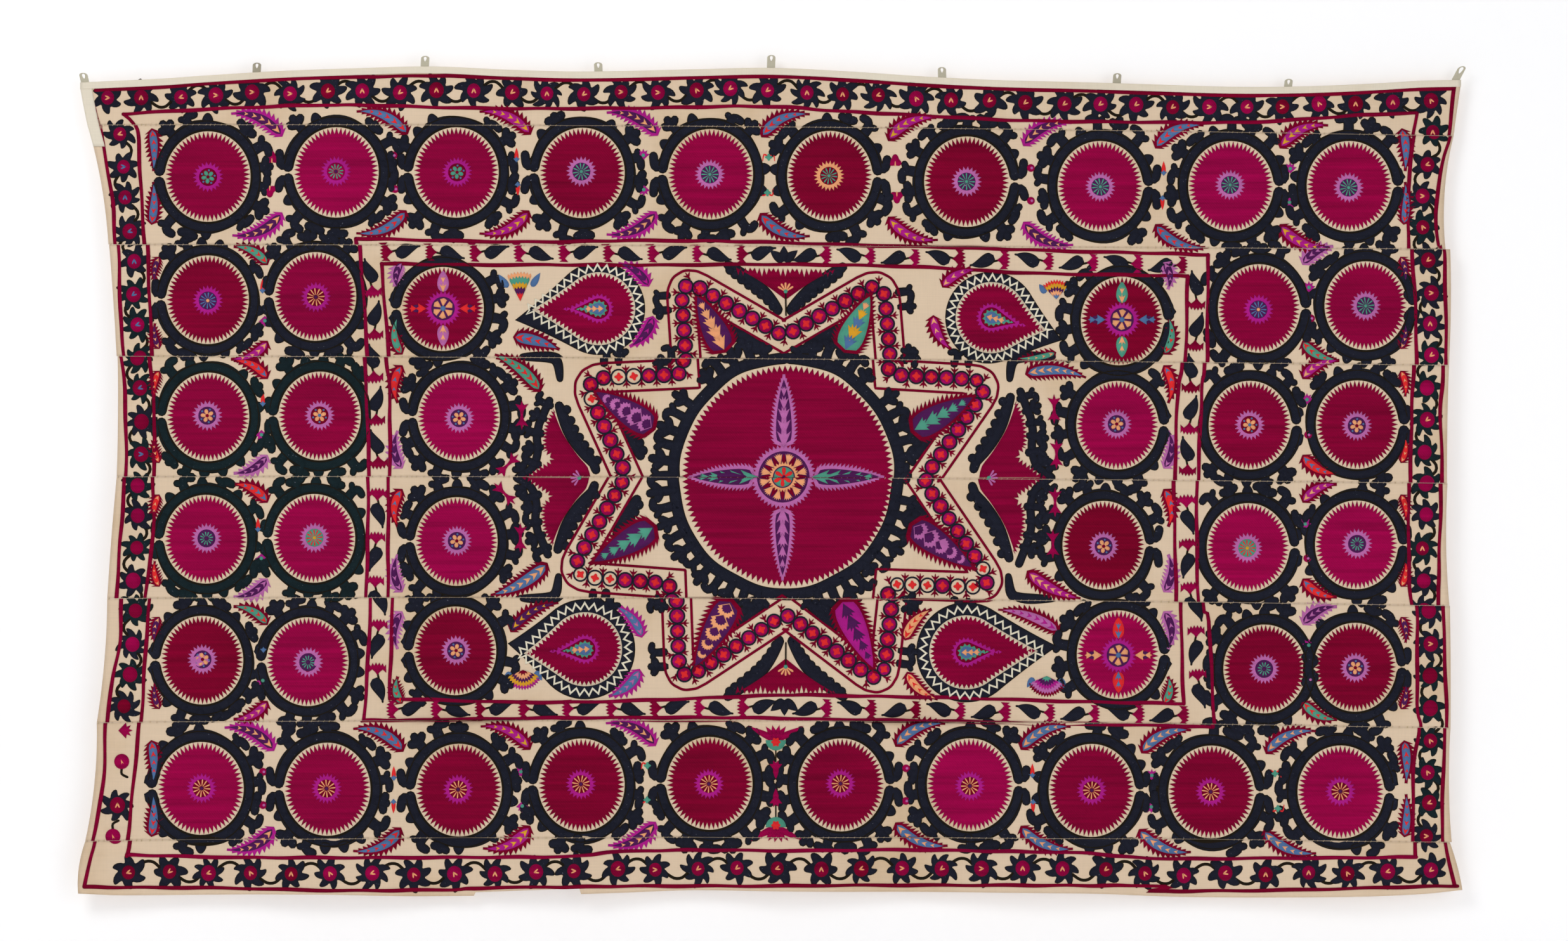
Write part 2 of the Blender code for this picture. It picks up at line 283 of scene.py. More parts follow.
def unevenness(x, z):
    """Puckers, old creases and the slight roll beside each seam, on top of the folds."""
    below = edge_height(TOP_EDGE, x) - z - FLAT_TOP
    forward = np.zeros_like(x)
    for pucker in PUCKERS:
        along, across = turned_axes(x, z, pucker.turn)
        turn = 2 * np.pi * along / pucker.wave + pucker.phase
        forward += pucker.depth * np.sin(turn + PUCKER_SWAY * np.sin(PUCKER_SWAY_RATE * across))
    for crease in CREASES:
        along, across = turned_axes(x - crease.x, z - crease.z, crease.turn)
        across = across + CREASE_SWAY * np.sin(along * CREASE_SWAY_RATE)
        ends = smooth_step((crease.length / 2 - np.abs(along)) / CREASE_FADE)
        forward -= crease.depth * ends * np.exp(-(across / crease.width) ** 2)
    return forward * smooth_step(below / EVEN_TOP)


def cloth_depth(x, z):
    return fold_depth(x, z) - unevenness(x, z)


def width_at(place):
    """The index of the loom width that a place lies on."""
    for index in range(len(SEAMS)):
        if place.imag > seam_height(SEAMS[index], place.real):
            return index
    return len(SEAMS)


# Meshes
def put(name, data):
    """A new object in the scene, for a mesh, a lamp or a camera."""
    made = bpy.data.objects.new(name, data)
    bpy.context.scene.collection.objects.link(made)
    return made


def boundary_of(faces, count):
    """The directed edges that only one face has."""
    corners = len(faces[0])
    starts = np.concatenate([faces[:, i] for i in range(corners)])
    ends = np.concatenate([faces[:, (i + 1) % corners] for i in range(corners)])
    alone = ~np.isin(starts * count + ends, ends * count + starts)
    return starts[alone], ends[alone]


def closed_shell(name, places, front, back, faces, dyes=None):
    """A closed piece: faces in front, the same faces behind, and walls round their edges."""
    count = len(places)
    verts = np.empty((2 * count, 3))
    verts[:count, 0] = verts[count:, 0] = places[:, 0]
    verts[:count, 2] = verts[count:, 2] = places[:, 1]
    verts[:count, 1] = front
    verts[count:, 1] = back
    starts, ends = boundary_of(faces, count)
    walls = np.stack([ends, starts, starts + count, ends + count], axis=1)
    polygons = faces.tolist() + (faces[:, ::-1] + count).tolist() + walls.tolist()
    mesh = bpy.data.meshes.new(name)
    mesh.from_pydata(verts.tolist(), [], polygons)
    mesh.shade_smooth()
    if dyes is not None:
        attribute = mesh.color_attributes.new(name="Thread", type="FLOAT_COLOR", domain="POINT")
        attribute.data.foreach_set("color", np.concatenate([dyes, dyes]).astype(np.float32).ravel())
    behind = np.zeros(len(polygons), np.int32)
    behind[len(faces):2 * len(faces)] = 1
    mesh.polygons.foreach_set("material_index", behind)
    mesh.update()
    return put(name, mesh)


def woven_sheet(name, x, z, front, back):
    """A closed sheet from a grid of places, with its first row at the top."""
    rows, columns = x.shape
    index = np.arange(rows * columns).reshape(rows, columns)
    corners = (index[:-1, :-1], index[1:, :-1], index[1:, 1:], index[:-1, 1:])
    faces = np.stack(corners, axis=-1).reshape(-1, 4)
    places = np.stack([x.ravel(), z.ravel()], axis=1)
    return closed_shell(name, places, front.ravel(), back.ravel(), faces)


FILL_PITCH = 0.012
BROAD = 0.014


def inside_points(outline, pitch):
    """Places spread evenly inside an outline, so that a wide filling follows the folds."""
    low = complex(outline.real.min(), outline.imag.min())
    high = complex(outline.real.max(), outline.imag.max())
    across, up = high.real - low.real, high.imag - low.imag
    if min(across, up) < 1.2 * pitch:
        return np.empty(0, complex)
    row = pitch * math.sqrt(3) / 2
    spots = []
    for j in range(int(up / row) + 1):
        start = low.real + (pitch / 2 if j % 2 else 0.0)
        spots.append(np.arange(start, high.real, pitch) + 1j * (low.imag + (j + 0.5) * row))
    spots = np.concatenate(spots)
    edge = np.roll(outline, -1) - outline
    to_spot = spots[:, None] - outline[None, :]
    length = np.maximum(np.abs(edge) ** 2, 1e-12)
    t = np.clip((to_spot * edge.conj()[None, :]).real / length, 0.0, 1.0)
    clear = np.abs(to_spot - t * edge[None, :]).min(axis=1) > 0.45 * pitch
    return spots[clear & wound(spots, outline)]


def wound(spots, outline):
    """Which places an outline goes round, also where it overlaps itself."""
    ends = np.roll(outline, -1)
    edge = ends - outline
    to_spot = spots[:, None] - outline[None, :]
    side = edge.real * to_spot.imag - edge.imag * to_spot.real
    starts_under = outline.imag[None, :] <= spots.imag[:, None]
    ends_under = ends.imag[None, :] <= spots.imag[:, None]
    rising = (starts_under & ~ends_under & (side > 0)).sum(axis=1)
    falling = (~starts_under & ends_under & (side < 0)).sum(axis=1)
    return rising != falling


class Stitching:
    """Fillings of one finish of thread, laid on the cloth together as one piece."""

    def __init__(self):
        self.places = []
        self.faces = []
        self.lifts = []
        self.dyes = []
        self.count = 0

    def fill(self, outline, lift, dye):
        """Adds a filling: its outline, how far it stands off the cloth, and its colour."""
        outline = np.asarray(outline)
        outline = outline[np.abs(outline - np.roll(outline, 1)) > 0.00008]
        if len(outline) < 3:
            return
        ends = np.roll(outline, -1)
        breadth = abs((outline.conj() * ends).imag.sum()) / np.abs(ends - outline).sum()
        spots = outline
        if breadth > BROAD:
            spots = np.concatenate([outline, inside_points(outline, FILL_PITCH)])
        edges = [(i, (i + 1) % len(outline)) for i in range(len(outline))]
        flat = [Vector((spot.real, spot.imag)) for spot in spots]
        verts, _, triangles, _, _, _ = geometry.delaunay_2d_cdt(flat, edges, [], 1, 1e-7)
        if not triangles:
            return
        triangles = np.array(triangles)
        corners = np.array([complex(v.x, v.y) for v in verts])
        triangles = triangles[wound(corners[triangles].mean(axis=1), outline)]
        self.places.extend((v.x, v.y) for v in verts)
        self.faces.extend((triangles + self.count).tolist())
        self.lifts.extend([lift] * len(verts))
        self.dyes.extend([(*dye[:3], 1.0)] * len(verts))
        self.count += len(verts)

    def sew(self, name, slot, front, back):
        places = np.array(self.places)
        lifts = np.array(self.lifts)
        depth = cloth_depth(places[:, 0], places[:, 1])
        before = depth - CLOTH / 2 - lifts
        behind = depth + CLOTH / 2 + 0.25 * lifts
        piece = closed_shell(name, places, before, behind, np.array(self.faces), np.array(self.dyes))
        piece.data.materials.append(front)
        piece.data.materials.append(back)
        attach(piece, "root")
        return piece


# Drawing
def turned(degrees):
    return cmath.rect(1.0, math.radians(degrees))


def unit(way):
    return way / abs(way)


def smooth_path(stations, pitch):
    """A smooth path through its stations, with a place about every pitch."""
    p = np.array([stations[0], *stations, stations[-1]])
    parts = []
    for a, b, c, d in zip(p, p[1:], p[2:], p[3:]):
        steps = max(int(abs(c - b) / pitch + 0.5), 2)
        t = np.arange(steps) / steps
        bend, twist = 2 * a - 5 * b + 4 * c - d, 3 * b - 3 * c + d - a
        parts.append(0.5 * (2 * b + (c - a) * t + bend * t ** 2 + twist * t ** 3))
    parts.append(p[-1:])
    return np.concatenate(parts)


def stroke(path, width, cap=4):
    """The outline of a line of stitches along a path, round at both ends."""
    path = np.asarray(path)
    width = np.broadcast_to(np.asarray(width, float), path.shape)
    ahead = np.gradient(path)
    ahead = ahead / np.maximum(np.abs(ahead), 1e-9)
    side = 1j * ahead * width / 2
    round_end = np.exp(-1j * np.linspace(0, np.pi, cap + 2)[1:-1])
    far = path[-1] + side[-1] * round_end
    near = path[0] - side[0] * round_end
    return np.concatenate([path + side, far, (path - side)[::-1], near])


def ellipse(centre, across, up=None, steps=24):
    angle = 2 * np.pi * np.arange(steps) / steps
    return centre + across * np.cos(angle) + 1j * (up or across) * np.sin(angle)


def lobed(centre, radius, lobes, depth, lean=0.0, turn=0.0, steps=6, sharp=1.0):
    """A closed shape with rounded or pointed lobes that lean to one side."""
    angle = 2 * np.pi * np.arange(lobes * steps) / (lobes * steps)
    wave = 0.5 + 0.5 * np.cos(lobes * angle)
    reach = radius * (1 - depth + depth * wave ** sharp)
    return centre + reach * np.exp(1j * (angle + math.radians(turn) + lean * wave))


def toothed(radius, teeth, depth, turn=0.0):
    """A round with pointed teeth: its tips lie on the radius."""
    angle = np.pi * np.arange(2 * teeth) / teeth + turn
    reach = np.where(np.arange(2 * teeth) % 2 == 0, radius, radius - depth)
    return reach * np.exp(1j * angle)


def cut_along(outline, height, keep_below):
    """The part of an outline below, or above, a line given by its height at x."""
    over = outline.imag - height(outline.real)
    if not keep_below:
        over = -over
    if (over <= 0).all():
        return outline
    kept = []
    for i in range(len(outline)):
        j = (i + 1) % len(outline)
        if over[i] <= 0:
            kept.append(outline[i])
        if (over[i] <= 0) != (over[j] <= 0):
            kept.append(outline[i] + (outline[j] - outline[i]) * over[i] / (over[i] - over[j]))
    return np.array(kept)


SEAM_BARE = 0.0004
SEAM_SLOPE = 0.01


def across_seams(outline, home=None):
    """The parts of an outline on each loom width, slipped sideways as the widths were joined again."""
    outline = np.asarray(outline)
    middle = outline.real.mean()
    base = 0.0 if home is None else LOOM_WIDTHS[home].slip
    for index, width in enumerate(LOOM_WIDTHS):
        top, low = top_of(index, middle), bottom_of(index, middle)
        if outline.imag.min() > top + SEAM_SLOPE or outline.imag.max() < low - SEAM_SLOPE:
            continue
        part = outline + (width.slip - base)
        if index > 0:
            part = cut_along(part, lambda x: top_of(index, x) - SEAM_BARE, True)
        if index < len(SEAMS) and len(part):
            part = cut_along(part, lambda x: bottom_of(index, x) + SEAM_BARE, False)
        if len(part) > 2 and np.ptp(part.real) > 0.001 and np.ptp(part.imag) > 0.001:
            yield part


# Shader maths
class Socket:
    """What a shader node gives. Arithmetic on it adds the Math nodes."""

    def __init__(self, shader, output):
        self.shader = shader
        self.output = output

    def __add__(self, other):
        return self.shader.maths("ADD", self, other)

    __radd__ = __add__

    def __sub__(self, other):
        return self.shader.maths("SUBTRACT", self, other)

    def __rsub__(self, other):
        return self.shader.maths("SUBTRACT", other, self)

    def __mul__(self, other):
        return self.shader.maths("MULTIPLY", self, other)

    __rmul__ = __mul__


class Shader:
    """A new material and its nodes."""

    def __init__(self, name):
        self.material = bpy.data.materials.new(name)
        self.material.use_nodes = True
        self.nodes = self.material.node_tree.nodes
        self.links = self.material.node_tree.links
        self.surface = self.nodes["Principled BSDF"]
        place = self.add("ShaderNodeTexCoord", output="Object")
        apart = self.nodes.new("ShaderNodeSeparateXYZ")
        self.feed(apart.inputs[0], place)
        self.x, self.y, self.z = (Socket(self, output) for output in apart.outputs)

    def feed(self, socket, value):
        if isinstance(value, Socket):
            self.links.new(value.output, socket)
        else:
            socket.default_value = value

    def add(self, kind, settings=None, inputs=None, output=0):
        """A node of any kind: its settings first, then the values or links of its sockets."""
        node = self.nodes.new(kind)
        for setting, value in (settings or {}).items():
            setattr(node, setting, value)
        for socket, value in (inputs or {}).items():
            self.feed(node.inputs[socket], value)
        return Socket(self, node.outputs[output])

    def maths(self, operation, first, second=0.0):
        return self.add("ShaderNodeMath", {"operation": operation}, {0: first, 1: second})

    def wave(self, along, pitch, sway):
        """A wave with a crest at every pitch along a value, swayed by another."""
        return self.maths("SINE", along * (2 * math.pi / pitch) + sway)

    def thread(self):
        """The colour that each filling was given."""
        return self.add("ShaderNodeAttribute", {"attribute_name": "Thread"}, output="Color")

    def noise(self, across, up, detail=2.0, roughness=0.5):
        """Noise with this many blotches a metre across and up."""
        axes = {0: self.x * across, 1: self.y * across, 2: self.z * up}
        place = self.add("ShaderNodeCombineXYZ", inputs=axes)
        inputs = {"Vector": place, "Scale": 1.0, "Detail": detail, "Roughness": roughness}
        return self.add("ShaderNodeTexNoise", inputs=inputs)

    def clamp_range(self, value, low, high):
        """0 below low, 1 above high, and smooth between."""
        smooth = {"interpolation_type": "SMOOTHSTEP"}
        return self.add("ShaderNodeMapRange", smooth, {0: value, 1: low, 2: high})

    def mix(self, factor, first, second):
        return self.add("ShaderNodeMix", {"data_type": "RGBA"}, {0: factor, 6: first, 7: second}, 2)

    def scaled(self, colour, value):
        return self.add("ShaderNodeVectorMath", {"operation": "SCALE"}, {0: colour, "Scale": value})

    def bump(self, height, distance, strength):
        inputs = {"Height": height, "Distance": distance, "Strength": strength}
        self.feed(self.surface.inputs["Normal"], self.add("ShaderNodeBump", inputs=inputs))

    def finish(self, **sockets):
        for socket, value in sockets.items():
            self.feed(self.surface.inputs[socket.replace("_", " ")], value)
        return self.material


def cotton(name, colour, stain, stain_share, thread):
    """Hand-woven plain cotton: uneven yarns both ways, slubs, foxing and old dirt."""
    shader = Shader(name)
    warp = shader.wave(shader.x, thread, shader.noise(6, 60) * 6)
    weft = shader.wave(shader.z, thread * 1.15, shader.noise(60, 6) * 6)
    slubs = shader.noise(14, 420, 3.0) * 0.6 + shader.noise(420, 14, 3.0) * 0.4
    cloud = shader.noise(2.2, 2.8, 5.0, 0.62)
    spots = shader.clamp_range(shader.noise(19, 23, 4.0, 0.7), 0.66, 0.78)
    dirt = shader.clamp_range(cloud, 0.46, 0.72) * stain_share + spots * 0.35 * stain_share
    shade = slubs * 0.22 + 0.89 + warp * weft * 0.02
    base = shader.scaled(shader.mix(dirt, (*colour, 1.0), (*stain, 1.0)), shade)
    weave = warp * 0.35 + weft * 0.35 + slubs * 1.2
    shader.bump(weave, 0.0004, 0.6)
    rough = slubs * 0.15 + 0.83
    return shader.finish(Base_Color=base, Roughness=rough, Specular_IOR_Level=0.15, Sheen_Weight=0.05)


LAID_PITCH = 0.0011
WRONG_SIDE_PITCH = 0.0052
# Painted glint: the bluish-grey colour of the small light specks on the silk
PAINTED_GLINT_COLOUR = (0.34, 0.36, 0.46, 1.0)


def silk(name, couching, streaks, specks, roughness, sheen):
    """Laid silk tied down by slanting rows of couching: dye streaks, a soft gloss and small bluish-grey
    specks of painted glint.
    """
    shader = Shader(name)
    laid = shader.wave(shader.z, LAID_PITCH, shader.noise(30, 30) * 4)
    ties = shader.wave(shader.x + shader.z * 0.85, couching, shader.noise(16, 16, 1.0) * 3)
    bands = shader.noise(1.7, 62, 3.0, 0.6) * 0.7 + shader.noise(5, 190, 2.0) * 0.3
    blotch = shader.noise(5, 7, 3.0)
    shade = (bands - 0.5) * (2.2 * streaks) + (blotch - 0.5) * 0.35 + 1.0 + ties * 0.055 + laid * 0.03
    colour = shader.scaled(shader.thread(), shade)
    # Painted glint: small bluish-grey specks mixed into the silk's colour, most of them on the navy
    painted_glint = shader.clamp_range(shader.noise(260, 300, 2.0, 0.7), 0.70, 0.80) * specks
    colour = shader.mix(painted_glint, colour, PAINTED_GLINT_COLOUR)
    height = ties * 0.55 + laid * 0.25 + shader.noise(240, 340, 2.0) * 0.8
    shader.bump(height, 0.00045, 0.75)
    gloss = (bands - 0.5) * 0.25 + roughness
    return shader.finish(Base_Color=colour, Roughness=gloss, Specular_IOR_Level=0.03, Sheen_Weight=sheen)


def wrong_side(name, cotton_colour):
    """The back of the stitching: short, broken rows of thread with the cotton between them."""
    shader = Shader(name)
    rows = shader.wave(shader.x - shader.z * 0.9, WRONG_SIDE_PITCH, shader.noise(22, 22) * 5)
    breaks = shader.noise(90, 130, 2.0)
    covered = shader.clamp_range(rows * 0.5 + breaks * 1.6, 0.50, 0.95)
    worn = shader.scaled(shader.thread(), shader.noise(6, 8, 3.0) * 0.5 + 0.75)
    colour = shader.mix(covered, (*cotton_colour, 1.0), worn)
    shader.bump(covered + breaks * 0.4, 0.0005, 0.7)
    return shader.finish(Base_Color=colour, Roughness=0.8, Sheen_Weight=0.1)


def linear(*screen):
    """A thread's colour from its 0 to 255 values on a screen."""
    return tuple(((c / 255 + 0.055) / 1.055) ** 2.4 if c > 10 else c / 255 / 12.92 for c in screen)


def colour_setting(name, description, default):
    return bpy.props.FloatVectorProperty(
        name=name, description=description, subtype="COLOR", size=3, min=0.0, max=1.0, default=default
    )


def length_setting(name, description, default):
    return bpy.props.FloatProperty(
        name=name, description=description, default=default, unit="LENGTH", precision=4
    )


class ThreadColours(bpy.types.PropertyGroup):
    """The dyes of the silk and the cotton."""

    crimson: colour_setting("Crimson", "Rounds, guard lines and tulips", linear(121, 0, 37))
    rose: colour_setting("Rose crimson", "The brighter dye lot of the rounds", linear(154, 2, 70))
    navy: colour_setting("Navy", "Rings, hooks and border flowers", linear(31, 33, 45))
    green_navy: colour_setting("Green navy", "The greener dye lot of the rings", linear(24, 38, 42))
    outline: colour_setting("Outline", "Dark brown line round the navy", linear(34, 28, 18))
    magenta: colour_setting("Magenta", "Haloes and leaves", linear(176, 28, 136))
    lilac: colour_setting("Lilac", "Haloes and the middle petals", linear(190, 106, 170))
    plum: colour_setting("Plum", "Dark grounds of the small flowers", linear(80, 26, 84))
    peach: colour_setting("Peach", "Small petals and zigzag tips", linear(244, 168, 118))
    red: colour_setting("Bright red", "Beads of the star band", linear(232, 46, 48))
    teal: colour_setting("Teal", "Small petals and sprigs", linear(82, 158, 134))
    blue: colour_setting("Blue", "Leaf fillings", linear(84, 118, 164))
    gold: colour_setting("Gold", "Leaf fillings", linear(226, 164, 44))
    cream: colour_setting("Ivory", "Zigzag lines", linear(236, 228, 204))
    cotton: colour_setting("Cotton", "Hand-woven ground", linear(228, 204, 175))
    stain: colour_setting("Stain", "Age marks on the ground", linear(204, 172, 130))
    heading: colour_setting("Heading", "Tape along the top", linear(236, 226, 205))
    loop: colour_setting("Loop tape", "Folded tape of the loops", linear(196, 190, 168))
    seam: colour_setting("Seam thread", "Oversewing of the loom widths", linear(206, 188, 142))


class StitchSizes(bpy.types.PropertyGroup):
    """Sizes of the stitching."""

    filling: length_setting("Filling", "How far a filling stands off the cloth", 0.0008)
    step: length_setting("Step", "How far one filling stands over the one under it", 0.0003)
    outline_width: length_setting("Outline width", "The dark line round the navy fillings", 0.0020)
    guard_width: length_setting("Guard line", "Width of the crimson lines of the borders", 0.0084)
    couching: length_setting("Couching pitch", "From one slanting row to the next", 0.0052)
    yarn: length_setting("Yarn pitch", "From one yarn of the cotton to the next", 0.0011)


def colours():
    return bpy.context.scene.suzani_colours


def sizes():
    return bpy.context.scene.suzani_sizes


def material(name):
    """A material that an earlier operator made."""
    return bpy.data.materials[name]


def make_materials():
    dyes = colours()
    couching = sizes().couching
    cotton("ground_cloth", dyes.cotton, dyes.stain, 0.55, sizes().yarn)
    cotton("tape_cloth", dyes.heading, dyes.stain, 0.25, sizes().yarn * 0.8)
    cotton("loop_cloth", dyes.loop, linear(120, 110, 92), 0.7, sizes().yarn * 0.8)
    silk("seam_silk", 0.0012, 0.1, 0.0, 0.85, 0.02)
    silk("crimson_silk", couching, 0.72, 0.0, 0.50, 0.01)
    silk("navy_silk", couching * 0.8, 0.45, 0.80, 0.68, 0.02)
    silk("outline_silk", 0.0030, 0.2, 0.25, 0.80, 0.02)
    silk("violet_silk", couching * 0.7, 0.30, 0.0, 0.55, 0.05)
    silk("bright_silk", couching * 0.6, 0.25, 0.0, 0.58, 0.04)
    silk("cream_silk", 0.0030, 0.15, 0.0, 0.62, 0.04)
    wrong_side("wrong_side", dyes.cotton)


# The medallions: rounds in rings
Medallion = namedtuple("Medallion", "x z across up flower")
MedallionRow = namedtuple("MedallionRow", "across up places flowers")
Flower = namedtuple("Flower", "halo ground petal eye petals long")

FLOWERS = {
    "sage": Flower("magenta", "crimson", "teal", "crimson", 5, 0.95),
    "rose": Flower("magenta", "rose", "teal", "plum", 6, 0.9),
    "sky": Flower("lilac", "plum", "teal", "teal", 6, 1.05),
    "spark": Flower("magenta", "plum", "blue", "peach", 6, 1.0),
    "sun": Flower("magenta", "crimson", "peach", "plum", 6, 1.1),
    "gold": Flower("peach", "crimson", "teal", "teal", 6, 1.0),
    "star": Flower("lilac", "plum", "peach", "crimson", 5, 0.8),
    "bead": Flower("lilac", "crimson", "peach", "blue", 5, 0.8),
    "sea": Flower("lilac", "plum", "teal", "plum", 6, 0.8),
    "wheel": Flower("lilac", "teal", "red", "gold", 6, 1.0),
}
MEDALLION_ROWS = (
    MedallionRow(0.0915, 0.0975, (
        -1.218 - 0.236j, -0.940 - 0.227j, -0.680 - 0.227j, -0.407 - 0.228j, -0.129 - 0.231j, 0.129 - 0.235j,
        0.426 - 0.247j, 0.715 - 0.257j, 0.998 - 0.257j, 1.255 - 0.257j,
    ), (
        "sage", "rose", "sage", "sky", "sky", "gold", "sky", "sky", "sky", "sky",
    )),
    MedallionRow(0.0885, 0.0955, (-1.218 - 0.503j, -0.985 - 0.496j), ("spark", "sun")),
    MedallionRow(0.0885, 0.0905, (-0.709 - 0.523j,), ("cross",)),
    MedallionRow(0.0885, 0.0955, (
        0.762 - 0.549j, 1.059 - 0.522j, 1.290 - 0.516j, -1.217 - 0.757j, -0.975 - 0.755j, -0.674 - 0.757j,
        0.752 - 0.775j, 1.039 - 0.775j, 1.271 - 0.774j, -1.222 - 1.022j, -0.987 - 1.020j, -0.679 - 1.027j,
        0.722 - 1.035j, 1.035 - 1.040j, 1.269 - 1.034j, -1.230 - 1.284j, -1.001 - 1.287j, -0.682 - 1.264j,
        0.753 - 1.272j, 1.071 - 1.303j, 1.266 - 1.299j,
    ), (
        "cross", "spark", "sky", "star", "bead", "star", "star", "bead", "star", "sea",
        "wheel", "star", "star", "wheel", "sea", "star", "sea", "star", "cross", "sea",
        "star",
    )),
    MedallionRow(0.0925, 0.1000, (
        -1.233 - 1.562j, -0.958 - 1.563j, -0.674 - 1.566j, -0.408 - 1.554j, -0.131 - 1.551j, 0.154 - 1.554j,
        0.433 - 1.554j, 0.696 - 1.566j, 0.956 - 1.570j, 1.235 - 1.569j,
    ), ("sun",) * 10),
)
MEDALLIONS = [
    Medallion(place.real, place.imag, row.across, row.up, flower)
    for row in MEDALLION_ROWS
    for place, flower in zip(row.places, row.flowers)
]
TOP_ROW, LOW_ROW = MEDALLIONS[:10], MEDALLIONS[-10:]
RING_INSIDE = 1.03
RING_OUTSIDE = 1.25
RING_LINE = 0.022
RING_LINE_INSET = 0.012
# How near a hook comes: the first four are in radii, the last two in metres
HOOK_REACH = 1.60
NEIGHBOURS = 3.6
NEIGHBOUR_ROOM = 0.02
LINE_ROOM = 0.06
FILLER_ROOM = 0.015
LEAF_ROOM = 0.010
# The hooks of a ring: sizes in radii, and turns in degrees from the gap between the curled ends
CURL_REACH = 1.46
LONGEST_HOOK = 0.36
SHORTEST_HOOK = 0.14
SHORTEST_BUD = 0.05
HOOK_WIDTH = 0.210
FIRST_HOOK = 27
LAST_HOOK = 338
HOOK_PITCH = 20.5
# Teeth round a medallion, and their depth in radii
TEETH = 58
TOOTH = 0.150


def middle_of(medallion):
    return complex(medallion.x, medallion.z)


def in_place(medallion, drawn):
    """A shape drawn round a medallion of radius 1, at its place and size."""
    return middle_of(medallion) + drawn.real * medallion.across + 1j * drawn.imag * medallion.up


def lines_round(medallion):
    """The upright and level guard lines that a medallion's hooks stop at."""
    outer_left, inner_left, inner_right, outer_right = -1.345, -0.826, 0.886, 1.393
    if medallion.z > -0.4:
        return (outer_left, outer_right), (-0.098, -0.380) if abs(medallion.x) < 0.9 else (-0.098,)
    if medallion.z < -1.42:
        return (outer_left, outer_right), (-1.416, -1.703) if abs(medallion.x) < 0.94 else (-1.703,)
    if abs(medallion.x) > 0.95:
        return (outer_left, -0.878) if medallion.x < 0 else (0.940, outer_right), ()
    return (inner_left,) if medallion.x < 0 else (inner_right,), (-0.432, -1.372)


def free_reach(medallion, degrees):
    """How far out, in a medallion's radii, a hook may reach before whatever stands beside it."""
    way = turned(degrees)
    middle = middle_of(medallion)
    reach = HOOK_REACH
    for other in MEDALLIONS:
        apart = complex((other.x - medallion.x) / medallion.across, (other.z - medallion.z) / medallion.up)
        if other is medallion or abs(apart) > NEIGHBOURS:
            continue
        facing = (way * apart.conjugate()).real / abs(apart)
        if facing > 0.1:
            reach = min(reach, (abs(apart) / 2 - NEIGHBOUR_ROOM) / facing)
    uprights, levels = lines_round(medallion)
    gaps = [((upright - medallion.x) / medallion.across, way.real) for upright in uprights]
    gaps += [((level - medallion.z) / medallion.up, way.imag) for level in levels]
    for gap, toward in gaps:
        if gap * toward > 0.05:
            reach = min(reach, (gap - math.copysign(LINE_ROOM, gap)) / toward)
    out = np.arange(RING_OUTSIDE, reach, 0.03)
    spots = middle + out * complex(way.real * medallion.across, way.imag * medallion.up)
    blocks = [(np.array([place]), FILLER_ROOM) for place, _ in filler_places() if abs(place - middle) < 0.2]
    for grown in leaf_places():
        if abs(grown.base - middle) <= 0.26:
            spine = spine_place(grown.base, grown.tip, grown.bend, np.linspace(0, 1, 9))
            blocks.append((spine, grown.half + LEAF_ROOM))
    for block, room in blocks:
        near = np.abs(spots[:, None] - block[None, :]).min(axis=1) < room
        if near.any():
            reach = min(reach, float(out[np.argmax(near)]))
            out, spots = out[out < reach], spots[out < reach]
    return reach


def branch(root, way, length, side, width, grow, kind):
    """The strokes of one navy branch: a hook with a nub, or a stem with three blunt lobes."""
    across = 1j * way * side * width
    foot = root - 0.4 * width * way
    if kind == "hook":
        stations = [foot, root + 0.50 * length * way, root + 0.84 * length * way + 0.40 * across]
        stations.append(root + 0.78 * length * way + 1.05 * across)
        path = smooth_path(stations, 0.24 * width)
        yield stroke(path, np.linspace(1.0, 0.74, len(path)) * width + 2 * grow, cap=3)
        nub = np.array([root + 0.50 * length * way, root + 0.78 * length * way - 0.62 * across])
        yield stroke(nub, 0.58 * width + 2 * grow, cap=3)
        return
    yield stroke(np.array([foot, root + 0.55 * length * way]), 0.90 * width + 2 * grow, cap=2)
    for lean, share in ((-0.72, 0.68), (0.06, 0.90), (0.76, 0.60)):
        lobe = np.array([root + 0.40 * length * way, root + share * length * way + lean * across])
        yield stroke(lobe, 0.80 * width + 2 * grow, cap=3)


